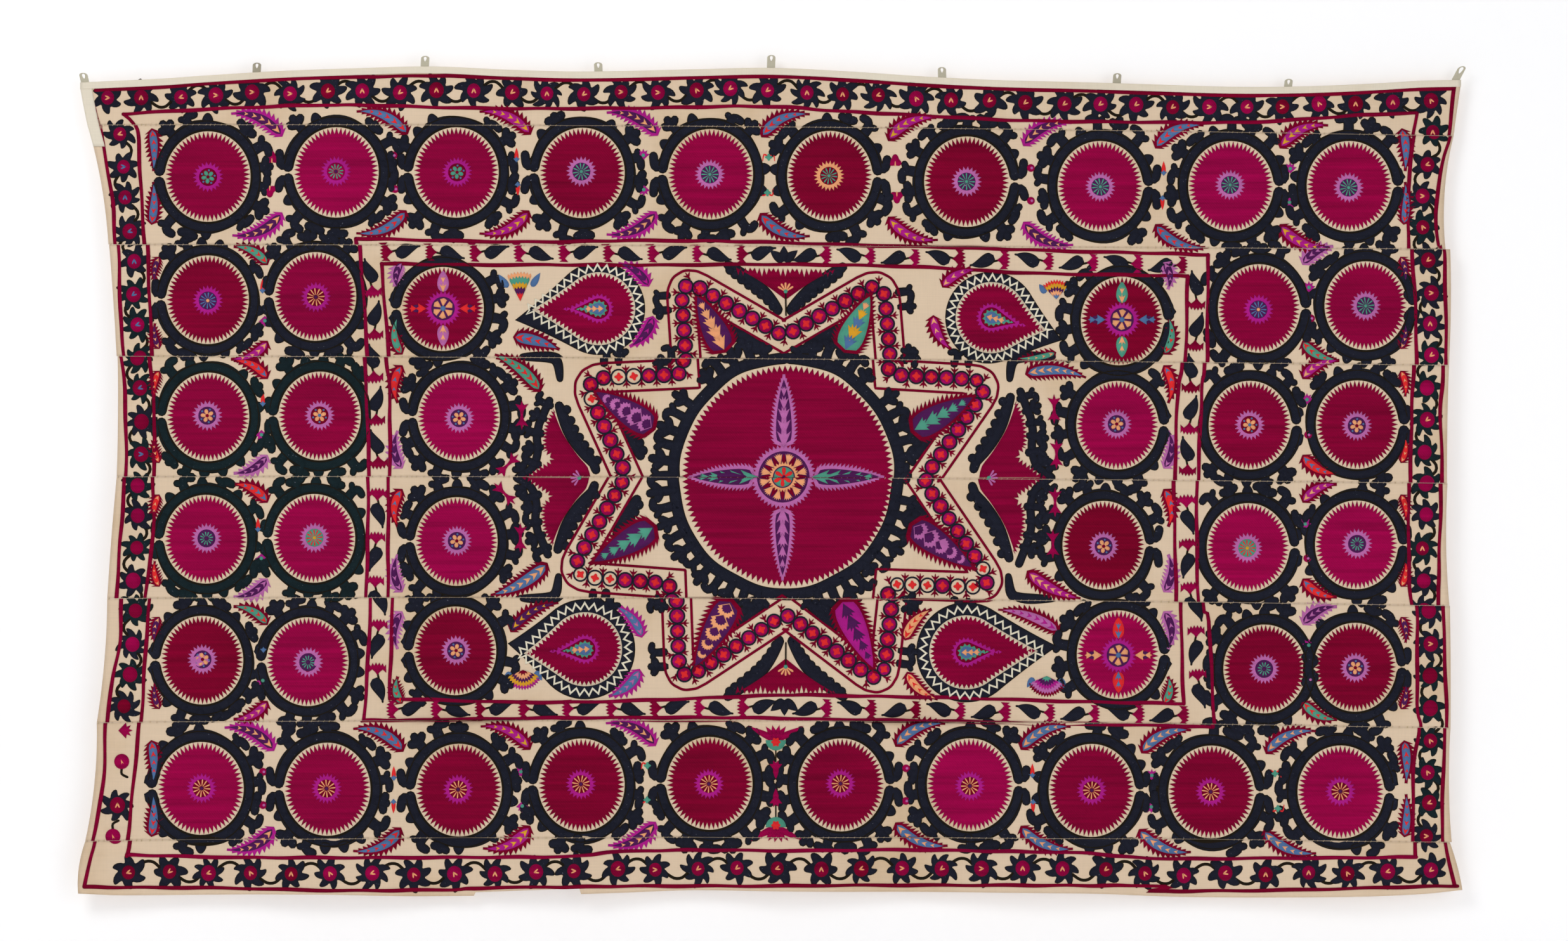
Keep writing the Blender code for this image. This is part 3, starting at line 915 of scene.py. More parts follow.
def ring_shapes(medallion, grow, rng):
    """The split ring of a medallion with its two curled ends, hooks and trefoils, in its radii."""
    toward = 180.0 if medallion.x < 0 else 0.0
    middle = (RING_INSIDE + RING_OUTSIDE) / 2
    thick = RING_OUTSIDE - RING_INSIDE + 2 * grow
    angles = np.linspace(7, 353, 60)
    bulge = 0.018 * np.sin(np.radians(angles * 5 + rng.uniform(0, 360)))
    near_end = np.minimum(angles, 360 - angles)
    middle_line = middle + 0.02 * np.exp(-near_end / 12)
    ring = (middle_line + bulge / 2) * np.exp(1j * np.radians(angles + toward))
    shapes = [stroke(ring, thick + bulge)]
    tip = min(free_reach(medallion, toward), CURL_REACH)
    for side in (1, -1):
        stations = [middle * turned(side * 26), (middle + 0.01) * turned(side * 15)]
        stations.append((middle + 0.10) * turned(side * 8.0))
        stations.append((0.4 * middle + 0.6 * tip) * turned(side * 8.5))
        stations.append((tip - 0.05) * turned(side * (15.5 + rng.uniform(-2, 2))))
        path = smooth_path([s * turned(toward) for s in stations], 0.045)
        shapes.append(stroke(path, np.linspace(0.20, 0.17, len(path)) + 2 * grow))
    turn = FIRST_HOOK + rng.uniform(-2, 2)
    kind = rng.choice((0, 1))
    while turn < LAST_HOOK:
        degrees = toward + turn
        length = min(free_reach(medallion, degrees) - RING_OUTSIDE, LONGEST_HOOK) - 0.01
        kind += 1
        turn += HOOK_PITCH * rng.uniform(0.9, 1.08)
        if length < SHORTEST_BUD:
            continue
        root, way = RING_OUTSIDE * turned(degrees), turned(degrees)
        side = 1 if turn < 190 else -1
        if length < SHORTEST_HOOK:
            shapes.append(lobed(root + way * length * 0.3, 0.12 + grow, 3, 0.15, turn=degrees, steps=7))
        else:
            width = HOOK_WIDTH * rng.uniform(0.92, 1.08)
            shapes.extend(branch(root, way, length, side, width, grow, "hook" if kind % 2 else "trefoil"))
    return shapes


class SUZANI_OT_cotton(bpy.types.Operator):
    """The eight loom widths of hand-woven cotton, which hang in their folds"""

    bl_idname = "suzani.cotton"
    bl_label = "Loom widths"

    def execute(self, context):
        make_materials()
        for index, width in enumerate(LOOM_WIDTHS):
            self.make_width(index, width)
        return {"FINISHED"}

    def make_width(self, index, width):
        height = float(top_of(index, 0.0) - bottom_of(index, 0.0))
        rows = max(int(height / CLOTH_GRID), 4)
        v = np.concatenate([[0.0, 0.006 / height], np.linspace(0.02 / height, 1 - 0.02 / height, rows)])
        v = np.concatenate([v, [1 - 0.006 / height, 1.0]])
        u = np.linspace(0, 1, 246)
        if index == len(SEAMS):
            span = width.low_right - width.low_left
            tears = [tear.x + side * LOST_HEM_TEAR for tear in LOST_HEM for side in (-0.5, 0, 0.5)]
            tears = [(tear - width.low_left) / span for tear in tears]
            u = np.sort(np.concatenate([u, tears]))
        left, right = side_edges(width, v)
        x = left[:, None] + (right - left)[:, None] * u[None, :]
        top, low = top_of(index, x), bottom_of(index, x)
        z = top + (low - top) * v[:, None]
        depth = cloth_depth(x.ravel(), z.ravel()).reshape(x.shape)
        edge = 4 * np.minimum(v, 1 - v)[:, None] * height / 0.012
        rolled = CLOTH / 2 * np.clip(0.75 + edge, 0, 1)
        piece = woven_sheet(f"cotton_{index + 1}", x, z, depth - rolled, depth + rolled)
        piece.data.materials.append(material("ground_cloth"))
        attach(piece, "root")
        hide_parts(width.name)


class SUZANI_OT_tapes(bpy.types.Operator):
    """The heading tape along the top edge and the short tape down the left side"""

    bl_idname = "suzani.tapes"
    bl_label = "Heading and side tape"

    def execute(self, context):
        width = LOOM_WIDTHS[0]
        front = -CLOTH / 2 - GAP - TAPE
        u = np.linspace(0, 1, 300)
        x = np.tile(width.left + (width.right - width.left) * u, (9, 1))
        down = np.array([0.0, 0.0006, 0.002, 0.005, 0.008, 0.011, 0.013, 0.0144, 0.015])[:, None]
        z = edge_height(TOP_EDGE, x) - down
        round_over = np.array([0.55, 0.15, 0.0, 0.05, 0.08, 0.05, 0.0, 0.15, 0.55])[:, None] * TAPE
        ripple = 0.0002 * np.sin(x * 240 + 2 * np.sin(x * 31)) * (down > 0.001)
        piece = woven_sheet("heading", x, z, front + round_over - ripple, front + TAPE + 0 * x)
        self.dress(piece, "heading_tape", (2.992, 0.015))
        v = np.concatenate([np.linspace(0, 1, 12), 1 + np.linspace(0.03, 0.18, 5)])
        x = np.empty((len(v), 7))
        z = np.empty_like(x)
        for row, down in enumerate(v):
            index = 0 if down <= 1 else 1
            down = max(down, 0.055) if index == 0 else down - 1
            left = side_edges(LOOM_WIDTHS[index], down)[0]
            x[row] = left + np.linspace(0, SIDE_TAPE_WIDTH, 7)
            z[row] = top_of(index, x[row]) + (bottom_of(index, x[row]) - top_of(index, x[row])) * down
        depth = cloth_depth(x.ravel(), z.ravel()).reshape(x.shape)
        edge = np.array([0.5, 0.1, 0.0, 0.0, 0.0, 0.1, 0.5]) * TAPE
        piece = woven_sheet("side_strip", x, z, depth + front + edge, depth + front + TAPE)
        self.dress(piece, "side_tape", (0.025, 0.142))
        return {"FINISHED"}

    def dress(self, piece, node, flat):
        piece.data.materials.append(material("tape_cloth"))
        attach(piece, "root")
        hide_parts(node)


class SUZANI_OT_loops(bpy.types.Operator):
    """The nine loops of folded tape, each with its eye"""

    bl_idname = "suzani.loops"
    bl_label = "Hanging loops"

    def execute(self, context):
        for number, loop in enumerate(LOOPS):
            self.make_loop(number, loop)
        return {"FINISHED"}

    def ring_places(self, loop, angle):
        """A place on the outer edge and the one across from it on the eye, above the heading's edge."""
        across, up = math.cos(angle), math.sin(angle)
        half, eye_half = LOOP_WIDTH / 2, loop.eye / 2
        eye_up, eye_down = loop.eye * LOOP_EYE_UP, loop.eye * LOOP_EYE_DOWN
        eye_centre = loop.rise - LOOP_CROWN - eye_up
        if up >= 0:
            outer = complex(half * across, eye_centre + (loop.rise - eye_centre) * up)
            return outer, complex(eye_half * across, eye_centre + eye_up * up)
        corner = math.sin(math.pi / 4)
        if abs(across) >= corner:
            outer = complex(math.copysign(half, across), eye_centre + (eye_centre + LOOP_LEG) * up / corner)
        else:
            outer = complex(half * across / corner, -LOOP_LEG)
        return outer, complex(eye_half * across * (1 + 0.35 * up), eye_centre + eye_down * up)

    def make_loop(self, number, loop):
        edge = float(edge_height(TOP_EDGE, loop.x))
        verts = []
        for step in range(LOOP_STEPS):
            outer, eye = self.ring_places(loop, 2 * math.pi * step / LOOP_STEPS)
            for inward, thick in LOOP_SECTION:
                place = outer + (eye - outer) * inward
                above = max(place.imag, 0.0) / loop.rise
                turn = LOOP_TURN * place.real / (LOOP_WIDTH / 2) * float(smooth_step(above * 2))
                x = loop.x + place.real + loop.lean * above
                verts.append((x, turn + thick * LOOP_TAPE, edge + place.imag))
        count = len(LOOP_SECTION)
        faces = []
        for i in range(LOOP_STEPS):
            j = (i + 1) % LOOP_STEPS
            for k in range(count):
                m = (k + 1) % count
                faces.append((i * count + k, i * count + m, j * count + m, j * count + k))
        mesh = bpy.data.meshes.new(f"loop_tape_{number + 1}")
        mesh.from_pydata(verts, [], faces)
        mesh.shade_smooth()
        piece = put(mesh.name, mesh)
        mesh.materials.append(material("loop_cloth"))
        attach(piece, "root")
        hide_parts(f"loop_{number + 1}")


class SUZANI_OT_rounds(bpy.types.Operator):
    """The crimson rounds with their pointed teeth"""

    bl_idname = "suzani.rounds"
    bl_label = "Medallion rounds"

    def execute(self, context):
        rng = random.Random(11)
        threads = Threads()
        for medallion in MEDALLIONS:
            share = rng.random()
            drawn = toothed(1.0, TEETH, TOOTH, rng.uniform(0, 0.1))
            threads.home = width_at(middle_of(medallion))
            threads.lay(("crimson", "rose", share), [in_place(medallion, drawn)], 0)
        threads.sew("rounds")
        return {"FINISHED"}


class SUZANI_OT_rings(bpy.types.Operator):
    """The navy rings round the medallions, with hooks and trefoils, and their dark outlines"""

    bl_idname = "suzani.rings"
    bl_label = "Medallion rings"

    def execute(self, context):
        threads = Threads()
        for number, medallion in enumerate(MEDALLIONS):
            threads.home = width_at(middle_of(medallion))
            greener = medallion.x < -0.9 and threads.home in (3, 4)

            def drawn(grow):
                """Its ring and hooks, grown by a length that is given in metres."""
                shapes = ring_shapes(medallion, grow / medallion.across, random.Random(100 + number))
                return [in_place(medallion, shape) for shape in shapes]

            threads.lay_navy(drawn, dye="green_navy" if greener else "navy")
            for reach in (RING_OUTSIDE - RING_LINE_INSET, RING_INSIDE + RING_LINE_INSET):
                angles = np.radians(np.linspace(9, 351, 50) + (180 if medallion.x < 0 else 0))
                line = stroke(reach * np.exp(1j * angles), RING_LINE)
                threads.lay("outline", [in_place(medallion, line)], 1)
        threads.sew("rings")
        return {"FINISHED"}


def mixed(first, second, share):
    return [a + (b - a) * share for a, b in zip(first, second)]


FINISHES = {
    "crimson": "crimson", "rose": "crimson", "magenta": "violet", "lilac": "violet", "plum": "violet",
    "navy": "navy", "green_navy": "navy", "outline": "outline", "cream": "cream", "cotton": "cream",
}


class Threads:
    """The stitchings of one operator, one for each finish of silk, and what they become."""

    def __init__(self):
        self.works = {}
        self.home = None

    def lay(self, dye, outlines, level, whole=False):
        """Lays outlines at a level in one dye or a mix of two, cut at the seams unless they stay whole."""
        first, second, share = dye if isinstance(dye, tuple) else (dye, dye, 0.0)
        work = self.works.setdefault(FINISHES.get(first, "bright"), Stitching())
        colour = mixed(getattr(colours(), first), getattr(colours(), second), share)
        for number, outline in enumerate(outlines):
            lift = sizes().filling + sizes().step * level + 0.00003 * (number % 5)
            for part in [outline] if whole else across_seams(outline, self.home):
                work.fill(part, lift, colour)

    def lay_navy(self, draw, level=0, dye="navy"):
        """Navy shapes on their dark line: draw gives the shapes grown by a length."""
        self.lay("outline", draw(sizes().outline_width), level - 1)
        self.lay(dye, draw(0.0), level)

    def navy_stroke(self, path, width):
        self.lay_navy(lambda grow: [stroke(path, width + 2 * grow)])

    def navy_dots(self, spots, radius, steps):
        self.lay_navy(lambda grow: [ellipse(spot, radius + grow, steps=steps) for spot in spots])

    def sew(self, name):
        for finish, work in sorted(self.works.items()):
            front = f"{finish}_silk"
            work.sew(f"{name}_{finish}", front, material(front), material("wrong_side"))


def run_along(path):
    """How far each place of a path is from its start."""
    return np.concatenate([[0], np.cumsum(np.abs(np.diff(path)))])


def places_on(path, run, at):
    """The places at these distances along a path."""
    return np.interp(at, run, path.real) + 1j * np.interp(at, run, path.imag)


def fringe(threads, path, length, width, pitch, rng):
    """Branches in a row along the left side of a path."""
    run = run_along(path)
    at = pitch * rng.uniform(0.3, 0.6)
    number = rng.choice((0, 1))
    while at < run[-1] - pitch * 0.25:
        spot, ahead = (complex(place) for place in places_on(path, run, (at, at + 0.003)))
        way = 1j * unit(ahead - spot)
        side = rng.choice((-1, 1))
        reach = length * rng.uniform(0.85, 1.08)
        thick = width * rng.uniform(0.9, 1.08)
        kind = ("hook", "trefoil")[number % 2]
        threads.lay_navy(lambda grow: branch(spot, way, reach, side, thick, grow, kind))
        at += pitch * rng.uniform(0.88, 1.12)
        number += 1


def petal(centre, way, start, end, width):
    """One petal that widens outward from its flower's middle."""
    path = centre + way * np.linspace(start, end, 5)
    return stroke(path, np.array([0.45, 0.6, 0.8, 1.0, 0.95]) * width, cap=3)


def fan(centre, way, radius, rays, spread=62, depth=0.42):
    """A small palmette: a point behind, and pointed rays that open along its way."""
    angles = np.radians(np.linspace(-spread, spread, 2 * rays - 1))
    reach = np.where(np.arange(2 * rays - 1) % 2 == 0, radius, radius * (1 - depth))
    return np.concatenate([[centre - way * radius * 0.75], centre + way * reach * np.exp(1j * angles)])


def leaf(base, tip, half_width, teeth=0, tooth=0.0, bend=0.0, blunt=0.5, taper=1.0):
    """A leaf from its round base to its pointed tip, smooth or with teeth along both sides."""
    places = 2 * max(teeth, 8)
    t = np.linspace(0.0, 1.0, places + 1)
    spine = spine_place(base, tip, bend, t)
    ahead = unit(np.gradient(spine))
    widest = blunt / (blunt + taper)
    peak = widest ** blunt * (1 - widest) ** taper
    half = half_width * t ** blunt * (1 - t) ** taper / peak
    if teeth:
        half = half + np.where(np.arange(places + 1) % 2 == 1, tooth, 0.0) * np.minimum(1.0, 2.5 * (1 - t))
    lean = np.where(np.arange(places + 1) % 2 == 1, tooth * 0.6, 0.0)
    left = spine + 1j * ahead * half + ahead * lean
    right = spine - 1j * ahead * half + ahead * lean
    return np.concatenate([left, right[::-1]])


def spine_place(base, tip, bend, t):
    return base + (tip - base) * t + 1j * (tip - base) * bend * 4 * t * (1 - t)


FLORET_HALO = 0.0335
HALO_TOOTH = 0.0085
FLORET_GROUND = 0.0195
FLORET_EYE = 0.0038
CROSS_HALO = 0.040
CROSS_GROUND = 0.0255
# How far out each mark on a cross flower's buds stands, and its radius
BUD_MARKS = ((0.044, 0.0120), (0.062, 0.0090))
SIDE_BUDS = ((0.046, 0.0135), (0.064, 0.0095))
# The dyes of each cross flower: its buds above and below, their marks, and its buds at the sides
CROSSES = (("lilac", "peach", "red"), ("teal", "peach", "blue"), ("red", "blue", "peach"))


class SUZANI_OT_florets(bpy.types.Operator):
    """The small flower in the middle of each round, in its toothed halo"""

    bl_idname = "suzani.florets"
    bl_label = "Medallion flowers"

    def execute(self, context):
        threads = Threads()
        for number, medallion in enumerate(MEDALLIONS):
            rng = random.Random(300 + number)
            centre = middle_of(medallion) + complex(rng.uniform(-0.002, 0.002), rng.uniform(-0.003, 0.003))
            threads.home = width_at(centre)
            if medallion.flower == "cross":
                self.cross(threads, centre, *CROSSES[(medallion.x > 0) + (medallion.z < -1)])
            else:
                self.floret(threads, centre, FLOWERS[medallion.flower], rng)
        threads.sew("florets")
        return {"FINISHED"}

    def floret(self, threads, centre, flower, rng):
        halo = toothed(FLORET_HALO, rng.choice((21, 22, 23)), HALO_TOOTH, rng.random())
        threads.lay(flower.halo, [centre + halo], 1)
        threads.lay(flower.ground, [ellipse(centre, FLORET_GROUND)], 2)
        start = rng.uniform(0, 360)
        petals = []
        for k in range(flower.petals):
            way = turned(start + 360 * k / flower.petals)
            if flower.petals == 5:
                petals.append(petal(centre, way, 0.002, 0.0105, 0.0085))
                threads.lay("blue", [ellipse(centre + 0.0145 * way * turned(36), 0.0023, steps=8)], 3)
            else:
                for side in (-14, 14):
                    petals.append(petal(centre, way * turned(side), 0.0055, 0.0165 * flower.long, 0.0028))
        threads.lay(flower.petal, petals, 3)
        threads.lay(flower.eye, [ellipse(centre, FLORET_EYE, steps=10)], 4)

    def cross(self, threads, centre, bud, mark, side_bud):
        """The larger flower with a bud above, below and at each side."""
        threads.lay("magenta", [centre + toothed(CROSS_HALO, 26, 0.009)], 1)
        threads.lay("plum", [ellipse(centre, CROSS_GROUND)], 2)
        wheel = []
        for k in range(6):
            way = turned(90 + 60 * k)
            vane = np.array([0.004, 0.020 * turned(-26), 0.0225 * turned(-5), 0.021 * turned(18)])
            wheel.append(vane * way + centre)
        threads.lay("peach", wheel, 3)
        threads.lay("blue", [ellipse(centre, 0.0058, steps=12)], 4)
        for way in (1j, -1j):
            threads.lay(bud, [leaf(centre + 0.036 * way, centre + 0.082 * way, 0.0125, taper=0.8)], 2)
            fans = [fan(centre + out * way, way, radius, 3, 40, 0.6) for out, radius in BUD_MARKS]
            threads.lay(mark, fans, 3)
        for way in (1, -1):
            threads.lay("plum", [ellipse(centre + 0.058 * way, 0.0085, steps=10)], 2)
            fans = [fan(centre + out * way, way, radius, 3, 55) for out, radius in SIDE_BUDS]
            threads.lay(side_bud, fans, 3)


# Guard lines: the places that each one passes, from left to right or from top to bottom
OUTER_TOP = (
    -1.456 - 0.036j, -1.132 - 0.026j, -0.865 - 0.019j, -0.487 - 0.015j, -0.447 - 0.024j, -0.021 - 0.009j,
    0.179 - 0.017j, 0.447 - 0.036j, 0.558 - 0.041j, 0.958 - 0.053j, 1.104 - 0.055j, 1.291 - 0.047j,
    1.488 - 0.040j,
)
OUTER_LEFT = (
    -1.467 - 0.059j, -1.450 - 0.125j, -1.422 - 0.282j, -1.416 - 0.380j, -1.408 - 0.568j, -1.395 - 0.690j,
    -1.392 - 0.884j, -1.401 - 1.034j, -1.408 - 1.140j, -1.412 - 1.242j, -1.427 - 1.325j, -1.437 - 1.398j,
    -1.443 - 1.545j, -1.466 - 1.672j, -1.475 - 1.712j, -1.489 - 1.772j,
)
OUTER_BOTTOM = (
    -1.489 - 1.774j, -0.766 - 1.783j, -0.487 - 1.775j, 0.778 - 1.772j, 0.839 - 1.786j, 1.482 - 1.772j,
)
OUTER_RIGHT = (
    1.489 - 0.040j, 1.478 - 0.140j, 1.461 - 0.202j, 1.445 - 0.308j, 1.452 - 0.389j, 1.457 - 0.401j,
    1.459 - 0.641j, 1.453 - 0.740j, 1.457 - 0.894j, 1.452 - 1.074j, 1.452 - 1.163j, 1.459 - 1.422j,
    1.456 - 1.512j, 1.454 - 1.651j, 1.458 - 1.690j, 1.475 - 1.772j,
)
INNER_TOP = (
    -1.396 - 0.100j, -1.105 - 0.085j, -0.932 - 0.081j, -0.487 - 0.089j, -0.027 - 0.084j, 0.180 - 0.095j,
    0.558 - 0.114j, 1.024 - 0.118j, 1.312 - 0.101j, 1.408 - 0.098j,
)
INNER_LEFT = (
    -1.396 - 0.100j, -1.369 - 0.135j, -1.362 - 0.235j, -1.352 - 0.375j, -1.349 - 0.469j, -1.342 - 0.623j,
    -1.331 - 0.740j, -1.331 - 0.884j, -1.331 - 1.008j, -1.347 - 1.145j, -1.360 - 1.312j, -1.368 - 1.431j,
    -1.390 - 1.665j, -1.398 - 1.708j,
)
INNER_BOTTOM = (
    -1.398 - 1.706j, -1.132 - 1.711j, -0.487 - 1.710j, -0.267 - 1.697j, 0.558 - 1.698j, 0.858 - 1.714j,
    1.392 - 1.709j,
)
INNER_RIGHT = (
    1.408 - 0.098j, 1.388 - 0.235j, 1.385 - 0.382j, 1.393 - 0.500j, 1.396 - 0.641j, 1.391 - 0.740j,
    1.388 - 0.901j, 1.388 - 1.100j, 1.395 - 1.200j, 1.396 - 1.379j, 1.404 - 1.431j, 1.391 - 1.518j,
    1.390 - 1.709j,
)
FRAME_OUTER = (
    (-0.894 - 0.371j, -0.487 - 0.378j, -0.173 - 0.375j, 0.558 - 0.395j, 0.945 - 0.406j),
    (
        0.945 - 0.406j, 0.943 - 0.641j, 0.937 - 0.700j, 0.930 - 0.901j, 0.932 - 1.160j, 0.945 - 1.200j,
        0.958 - 1.429j,
    ),
    (0.958 - 1.429j, 0.558 - 1.420j, -0.201 - 1.408j, -0.884 - 1.415j),
    (-0.884 - 1.415j, -0.869 - 1.149j, -0.866 - 0.887j, -0.876 - 0.626j, -0.894 - 0.371j),
)
FRAME_INNER = (
    (-0.846 - 0.425j, -0.487 - 0.428j, 0.180 - 0.428j, 0.558 - 0.445j, 0.901 - 0.452j),
    (0.901 - 0.452j, 0.895 - 0.641j, 0.885 - 0.700j, 0.880 - 0.903j, 0.885 - 1.171j, 0.891 - 1.379j),
    (0.891 - 1.379j, 0.173 - 1.361j, -0.019 - 1.361j, -0.432 - 1.375j, -0.829 - 1.368j),
    (-0.829 - 1.368j, -0.822 - 1.090j, -0.822 - 0.733j, -0.829 - 0.626j, -0.846 - 0.425j),
)
GUARDS = (
    OUTER_TOP, OUTER_LEFT, OUTER_BOTTOM, OUTER_RIGHT, INNER_TOP, INNER_LEFT, INNER_BOTTOM, INNER_RIGHT,
    *FRAME_OUTER, *FRAME_INNER,
)
BELOW_HEADING = 0.0038


class SUZANI_OT_guard_lines(bpy.types.Operator):
    """The crimson lines along both edges of the outer border and of the inner frame"""

    bl_idname = "suzani.guard_lines"
    bl_label = "Guard lines"

    def execute(self, context):
        threads = Threads()
        rng = random.Random(7)
        for stations in GUARDS:
            path = smooth_path(stations, 0.010)
            steps = 1.4 * np.arange(len(path))
            sway = 0.0007 * np.sin(steps * 0.33 + rng.uniform(0, 6))
            sway = sway + 0.0005 * np.sin(steps * 0.11 + rng.uniform(0, 6))
            path = path + 1j * unit(np.gradient(path)) * sway
            if stations is OUTER_TOP:
                heading_foot = edge_height(TOP_EDGE, path.real) - HEADING_HEIGHT
                path = path.real + 1j * np.minimum(path.imag, heading_foot - BELOW_HEADING)
            width = sizes().guard_width * (0.92 + 0.12 * np.sin(steps * 0.21 + rng.uniform(0, 6)))
            threads.lay(("crimson", "rose", 0.4 * rng.random()), [stroke(path, width)], 1)
        faded = smooth_path([-1.470 - 0.052j, -1.462 - 0.085j, -1.450 - 0.128j], 0.007)
        threads.lay(("crimson", "cotton", 0.35), [stroke(faded, 0.0125)], 1)
        threads.sew("guard_lines")
        return {"FINISHED"}


def height_on(stations, x):
    return float(np.interp(x, [s.real for s in stations], [s.imag for s in stations]))


def side_on(stations, z):
    return float(np.interp(-z, [-s.imag for s in stations], [s.real for s in stations]))


# Each run of border flowers: its name, the guard lines beside it, its two ends and its number of flowers
LEVEL_RUNS = (
    ("top", OUTER_TOP, INNER_TOP, -1.433, 1.438, 37),
    ("low", OUTER_BOTTOM, INNER_BOTTOM, -1.396, 1.422, 33),
)
UPRIGHT_RUNS = (
    ("right", OUTER_RIGHT, INNER_RIGHT, -0.139, -1.664, 23),
    ("left", OUTER_LEFT, INNER_LEFT, -0.146, -1.386, 19),
)


def border_places():
    """Where each border flower stands, run by run."""
    places = {}
    for name, outer, inner, first, last, count in LEVEL_RUNS:
        across = np.linspace(first, last, count)
        places[name] = [complex(x, (height_on(outer, x) + height_on(inner, x)) / 2) for x in across]
    for name, outer, inner, first, last, count in UPRIGHT_RUNS:
        down = np.linspace(first, last, count)
        places[name] = [complex((side_on(outer, z) + side_on(inner, z)) / 2, z) for z in down]
    return {**places, "foot": [-1.412 - 1.595j]}


LEVEL_FLOWER = 0.0375
UPRIGHT_FLOWER = 0.0350
FLOWER_MIDDLE = 0.0152
VINE_BOW = 0.020
VINE_WIDTH = 0.0066


class SUZANI_OT_border_flowers(bpy.types.Operator):
    """The navy flowers of the outer border with their crimson middles, and the vine between them"""

    bl_idname = "suzani.border_flowers"
    bl_label = "Border flowers"

    def execute(self, context):
        threads = Threads()
        rng = random.Random(23)
        for name, places in border_places().items():
            for number, centre in enumerate(places):
                nudge = complex(rng.uniform(-0.004, 0.004), rng.uniform(-0.003, 0.003))
                self.flower(threads, centre + nudge, name, rng)
                if number:
                    self.vine(threads, places[number - 1], centre, 1 if number % 2 else -1)
        self.foot(threads)
        threads.sew("border")
        return {"FINISHED"}

    def foot(self, threads):
        """The half bud and the two balls that stand at the foot of the left border instead of flowers."""
        threads.lay("rose", [fan(-1.398 - 1.436j, 1, 0.0175, 5, 80, 0.45)], 1)
        for centre, up in ((-1.404 - 1.503j, -1), (-1.423 - 1.665j, 1)):
            threads.lay("rose", [ellipse(centre, 0.0160, 0.0165)], 1)
            threads.lay("peach", [fan(centre, turned(-70), 0.0065, 2, 24, 0.6)], 2)
            stem = [centre + 0.015j * up, centre + 0.027j * up, centre + complex(0.012, 0.034 * up)]
            threads.lay("outline", [stroke(smooth_path(stem, 0.004), 0.0052, cap=2)], -1)

    def flower(self, threads, centre, run, rng):
        lobes = rng.choice((6, 7, 7, 7, 8))
        radius = (LEVEL_FLOWER if run in ("top", "low") else UPRIGHT_FLOWER) * rng.uniform(0.94, 1.05)
        turn = rng.uniform(0, 60)
        lean = rng.choice((-1, 1)) * rng.uniform(0.12, 0.34)
        uneven = [rng.uniform(0.86, 1.08) for _ in range(lobes)]
        shape = lobed(0, 1.0, lobes, 0.42, lean=lean, turn=turn, steps=9, sharp=0.75)
        shape = shape * np.interp(np.arange(lobes * 9) / 9, range(lobes + 1), [*uneven, uneven[0]])
        dye = "green_navy" if run in ("left", "right") and rng.random() < 0.5 else "navy"
        threads.lay_navy(lambda grow: [centre + shape * (radius + grow)], dye=dye)
        middle = FLOWER_MIDDLE * rng.uniform(0.92, 1.08)
        share = rng.random()
        threads.lay(("crimson", "rose", share), [ellipse(centre, middle, middle * 1.08, 16)], 1)
        plain = run == "right" and -1.40 < centre.imag < -0.55 or run == "left" and centre.imag < -0.62
        if plain and rng.random() < 0.8:
            return
        way = turned(rng.choice((-90, -60, 40, 180, 20)))
        start = centre - 0.004 * way
        dye = "blue" if run == "left" and rng.random() < 0.6 else "peach"
        for side in (-24, 24):
            tick = start + way * turned(side) * np.linspace(0, 0.0095, 4)
            tick = stroke(tick, [0.0026, 0.0032, 0.0034, 0.0024], cap=2)
            threads.lay(dye, [tick], 2)

    def vine(self, threads, first, second, side):
        """A short dark stem that bows above or below the line between two flowers."""
        way = second - first
        bow = 1j * way / abs(way) * VINE_BOW * side
        stations = [first + way * 0.22 + bow * 0.5, first + way * 0.42 + bow * 1.05]
        stations += [first + way * 0.62 + bow * 1.0, first + way * 0.80 + bow * 0.3]
        path = smooth_path(stations, 0.006)
        threads.lay("outline", [stroke(path, VINE_WIDTH, cap=2)], -2)


